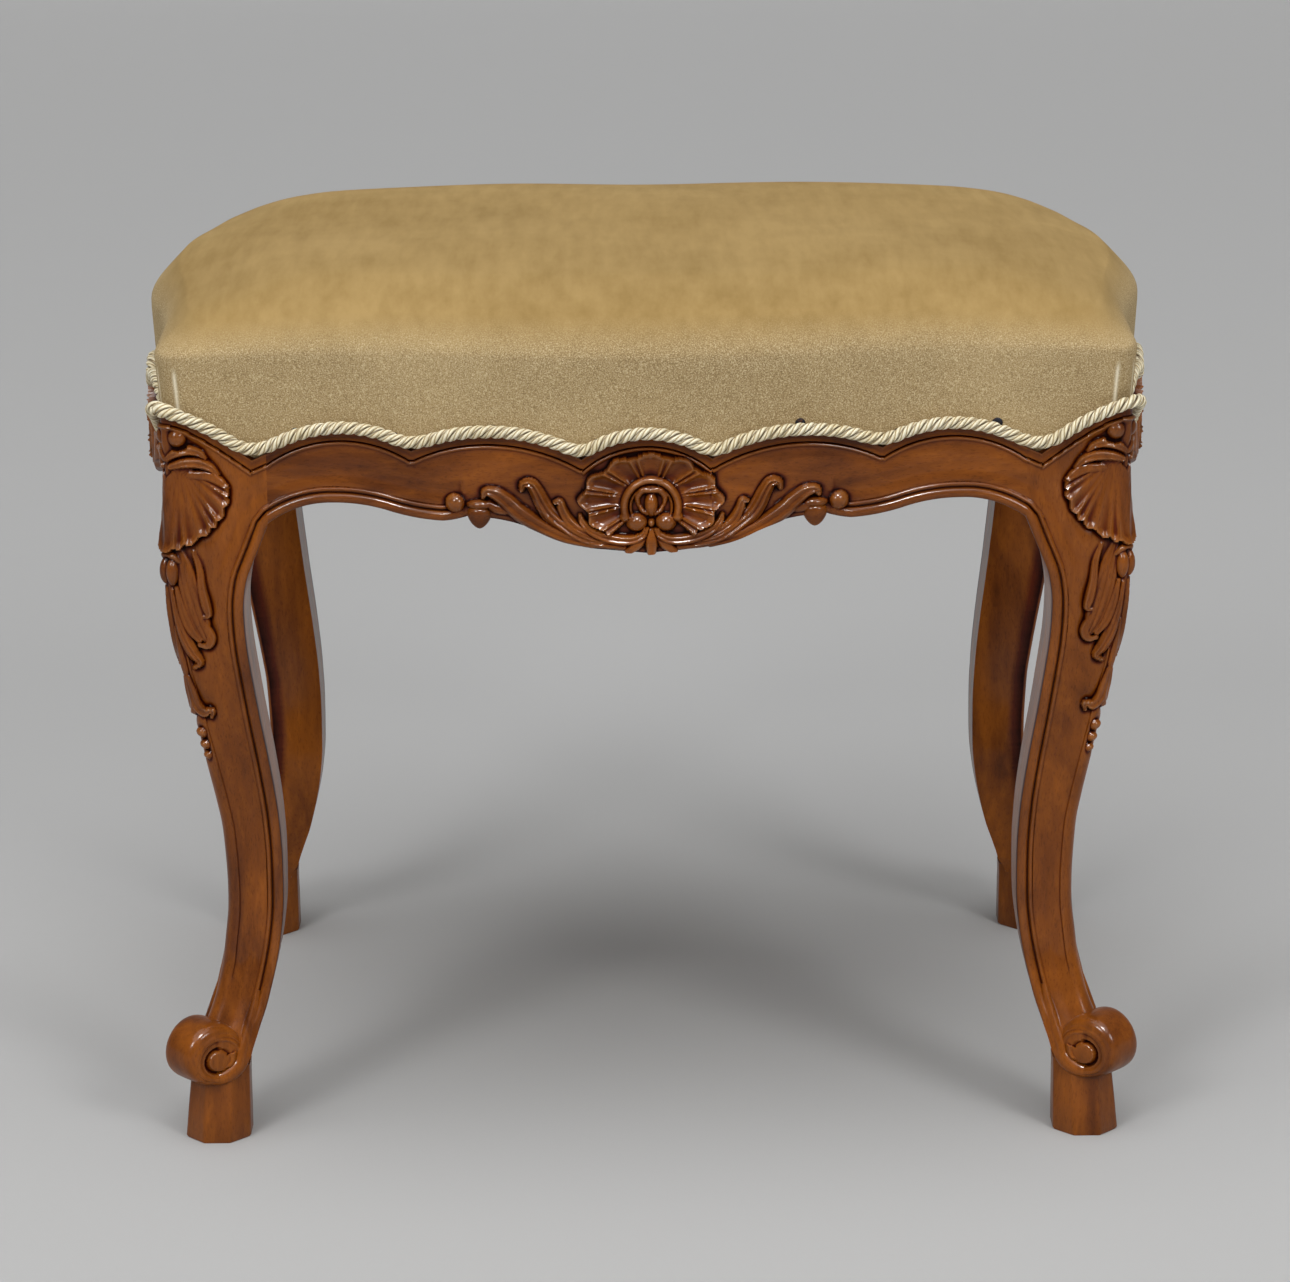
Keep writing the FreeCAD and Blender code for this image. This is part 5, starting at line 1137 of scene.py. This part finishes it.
def velvet_colours(tree, place):
    """Mohair pile: golden on the top, with strokes of the brush 8 mm wide, and greyer on the sides, a painted
    sheen for how the pile catches the light on each; on the sides painted light and shade on the pile's tips,
    and a painted highlight along the pleats' edges. Tips finer than the render shows are drawn 0.7 mm apart."""
    side = node(tree, "Attribute", attribute_name="side", out="Fac")
    pleat = node(tree, "Attribute", attribute_name="pleat", out="Fac")
    brushed = node(tree, "Mapping", {"Vector": place, "Scale": (1.0, 0.16, 1.0)})
    stroked = node(tree, "TexNoise", {"Vector": brushed, "Scale": spaced(8.33), "Detail": 5.0,
                                      "Roughness": 0.6})
    cloud = node(tree, "TexNoise", {"Vector": place, "Scale": spaced(83.3), "Detail": 5.0, "Roughness": 0.6})
    tips = node(tree, "TexNoise", {"Vector": place, "Scale": spaced(2 / 3), "Detail": 4.0, "Roughness": 0.75})
    patch = node(tree, "Mix", {0: 0.45, 2: cloud, 3: stroked}, data_type="FLOAT")
    # Painted sheen: one velvet in two colours, golden for the top and greyer for the sides
    top = node(tree, "ValToRGB", {"Fac": patch}, stops=((0.38, "#917646"), (0.62, "#A68A58")))
    wall = node(tree, "ValToRGB", {"Fac": cloud}, stops=((0.35, "#98815A"), (0.65, "#AA9268")))
    # Painted light and shade on the pile's tips: pale where lit, dark where shaded
    lit = node(tree, "ValToRGB", {"Fac": tips}, stops=((0.5, "#000000"), (0.64, "#D0D0D0")))
    shaded_tips = node(tree, "ValToRGB", {"Fac": tips}, stops=((0.34, "#D0D0D0"), (0.48, "#000000")))
    wall = node(tree, "Mix", {0: lit, 6: wall, 7: "#E2D2AC"}, **COLOURS)
    wall = node(tree, "Mix", {0: shaded_tips, 6: wall, 7: "#5C4C30"}, **COLOURS)
    cloth = node(tree, "Mix", {0: side, 6: top, 7: wall}, **COLOURS)
    # Painted highlight along the pleats' edges, where the folds catch the light
    crease = node(tree, "Math", {0: pleat, 1: 0.8}, operation="MULTIPLY")
    cloth = node(tree, "Mix", {0: crease, 6: cloth, 7: "#EAE2CA"}, **COLOURS)
    bump = node(tree, "Bump", {"Height": tips, "Strength": 0.3, "Distance": 0.6 * MM})
    return {"Base Color": cloth, "Normal": bump}


def cotton_colours(tree, place):
    """Cream cotton: four loose plies in each strand that go once round it in 31 mm, soil clouds 15 mm
    across, and shade where the strands meet."""
    # Plies in a strand, and the share of one that each millimetre along it passes
    plies, passed = 4.0, 0.13
    wound = node(tree, "UVMap")
    along = node(tree, "SeparateXYZ", {0: wound}, out=0)
    around = node(tree, "SeparateXYZ", {0: wound}, out=1)
    outer = node(tree, "Attribute", attribute_name="outer", out="Fac")
    lay = node(tree, "Math", {0: along, 1: passed}, operation="MULTIPLY")
    turns = node(tree, "Math", {0: around, 1: plies, 2: lay}, operation="MULTIPLY_ADD")
    wave = node(tree, "Math", {0: turns, 1: math.tau}, operation="MULTIPLY")
    wave = node(tree, "Math", {0: wave}, operation="SINE")
    ply = node(tree, "Math", {0: wave, 1: 0.5, 2: 0.5}, operation="MULTIPLY_ADD")
    soil = node(tree, "TexNoise", {"Vector": place, "Scale": spaced(15.4), "Detail": 3.0})
    yarn = node(tree, "ValToRGB", {"Fac": soil}, stops=((0.3, "#E0D2AC"), (0.7, "#F6EED4")))
    shade = node(tree, "ValToRGB", {"Fac": ply}, stops=((0.0, "#A8946A"), (0.36, "#FFFFFF")))
    yarn = node(tree, "Mix", {0: 1.0, 6: yarn, 7: shade}, blend_type="MULTIPLY", **COLOURS)
    gap = node(tree, "ValToRGB", {"Fac": outer}, stops=((0.4, "#6E5836"), (0.8, "#FFFFFF")))
    yarn = node(tree, "Mix", {0: 1.0, 6: yarn, 7: gap}, blend_type="MULTIPLY", **COLOURS)
    bump = node(tree, "Bump", {"Height": ply, "Strength": 0.9, "Distance": 0.6 * MM})
    return {"Base Color": yarn, "Normal": bump}


def calico_colours(tree, place):
    """Unbleached cotton with faint clouds."""
    cloud = node(tree, "TexNoise", {"Vector": place, "Scale": spaced(40), "Detail": 4.0})
    return {"Base Color": node(tree, "ValToRGB", {"Fac": cloud}, stops=((0.3, "#CFC3A8"), (0.7, "#E2D9C4")))}


def build_stool():
    """Every piece with its finish; blocks and tacks keep their solids."""
    walnut, long_walnut, short_walnut = (
        finish("shellacked_walnut" + way, walnut_colours(along), Specular_IOR_Level=0.05, Coat_Roughness=0.13)
        for way, along in (("", (1.0, 1.0, 0.22)), ("_lengthwise", (-0.22, 1.0, 1.0)),
                           ("_crosswise", (1.0, 0.22, 1.0))))
    pine = finish("sawn_pine", pine_colours, Roughness=0.8)
    steel = finish("blued_steel", steel_colours, Metallic=0.9, Roughness=0.42)
    webbing = finish("jute_webbing", weave_colours(1.6, "#B79B6A", "#6F5836"), Roughness=0.95)
    jute = finish("jute_hessian", weave_colours(1.3, "#A88C60", "#5E4A2E"), Roughness=0.95)
    velvet = finish("mohair_velvet", velvet_colours, Roughness=0.95, Specular_IOR_Level=0.1,
                    Sheen_Weight=0.12, Sheen_Roughness=0.4, Sheen_Tint="#E8D0A0")
    cotton = finish("cotton_cord", cotton_colours, Roughness=0.6, Specular_IOR_Level=0.3)
    calico = finish("calico", calico_colours, Roughness=0.9)
    build_cord(cotton)
    build_tacks(steel)
    build_legs(walnut)
    build_rails(long_walnut, short_walnut)
    build_webbing(webbing)
    build_hessian(jute)
    build_wadding(calico)
    build_cover(velvet)
    for name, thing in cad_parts.items():
        if name.endswith("_block") or name == "webbing_tacks":
            thing.data.materials.clear()
            thing.data.materials.append(pine if name.endswith("_block") else steel)


look_from_the_photograph()
set_the_stage()
build_stool()
bpy.context.view_layer.update()
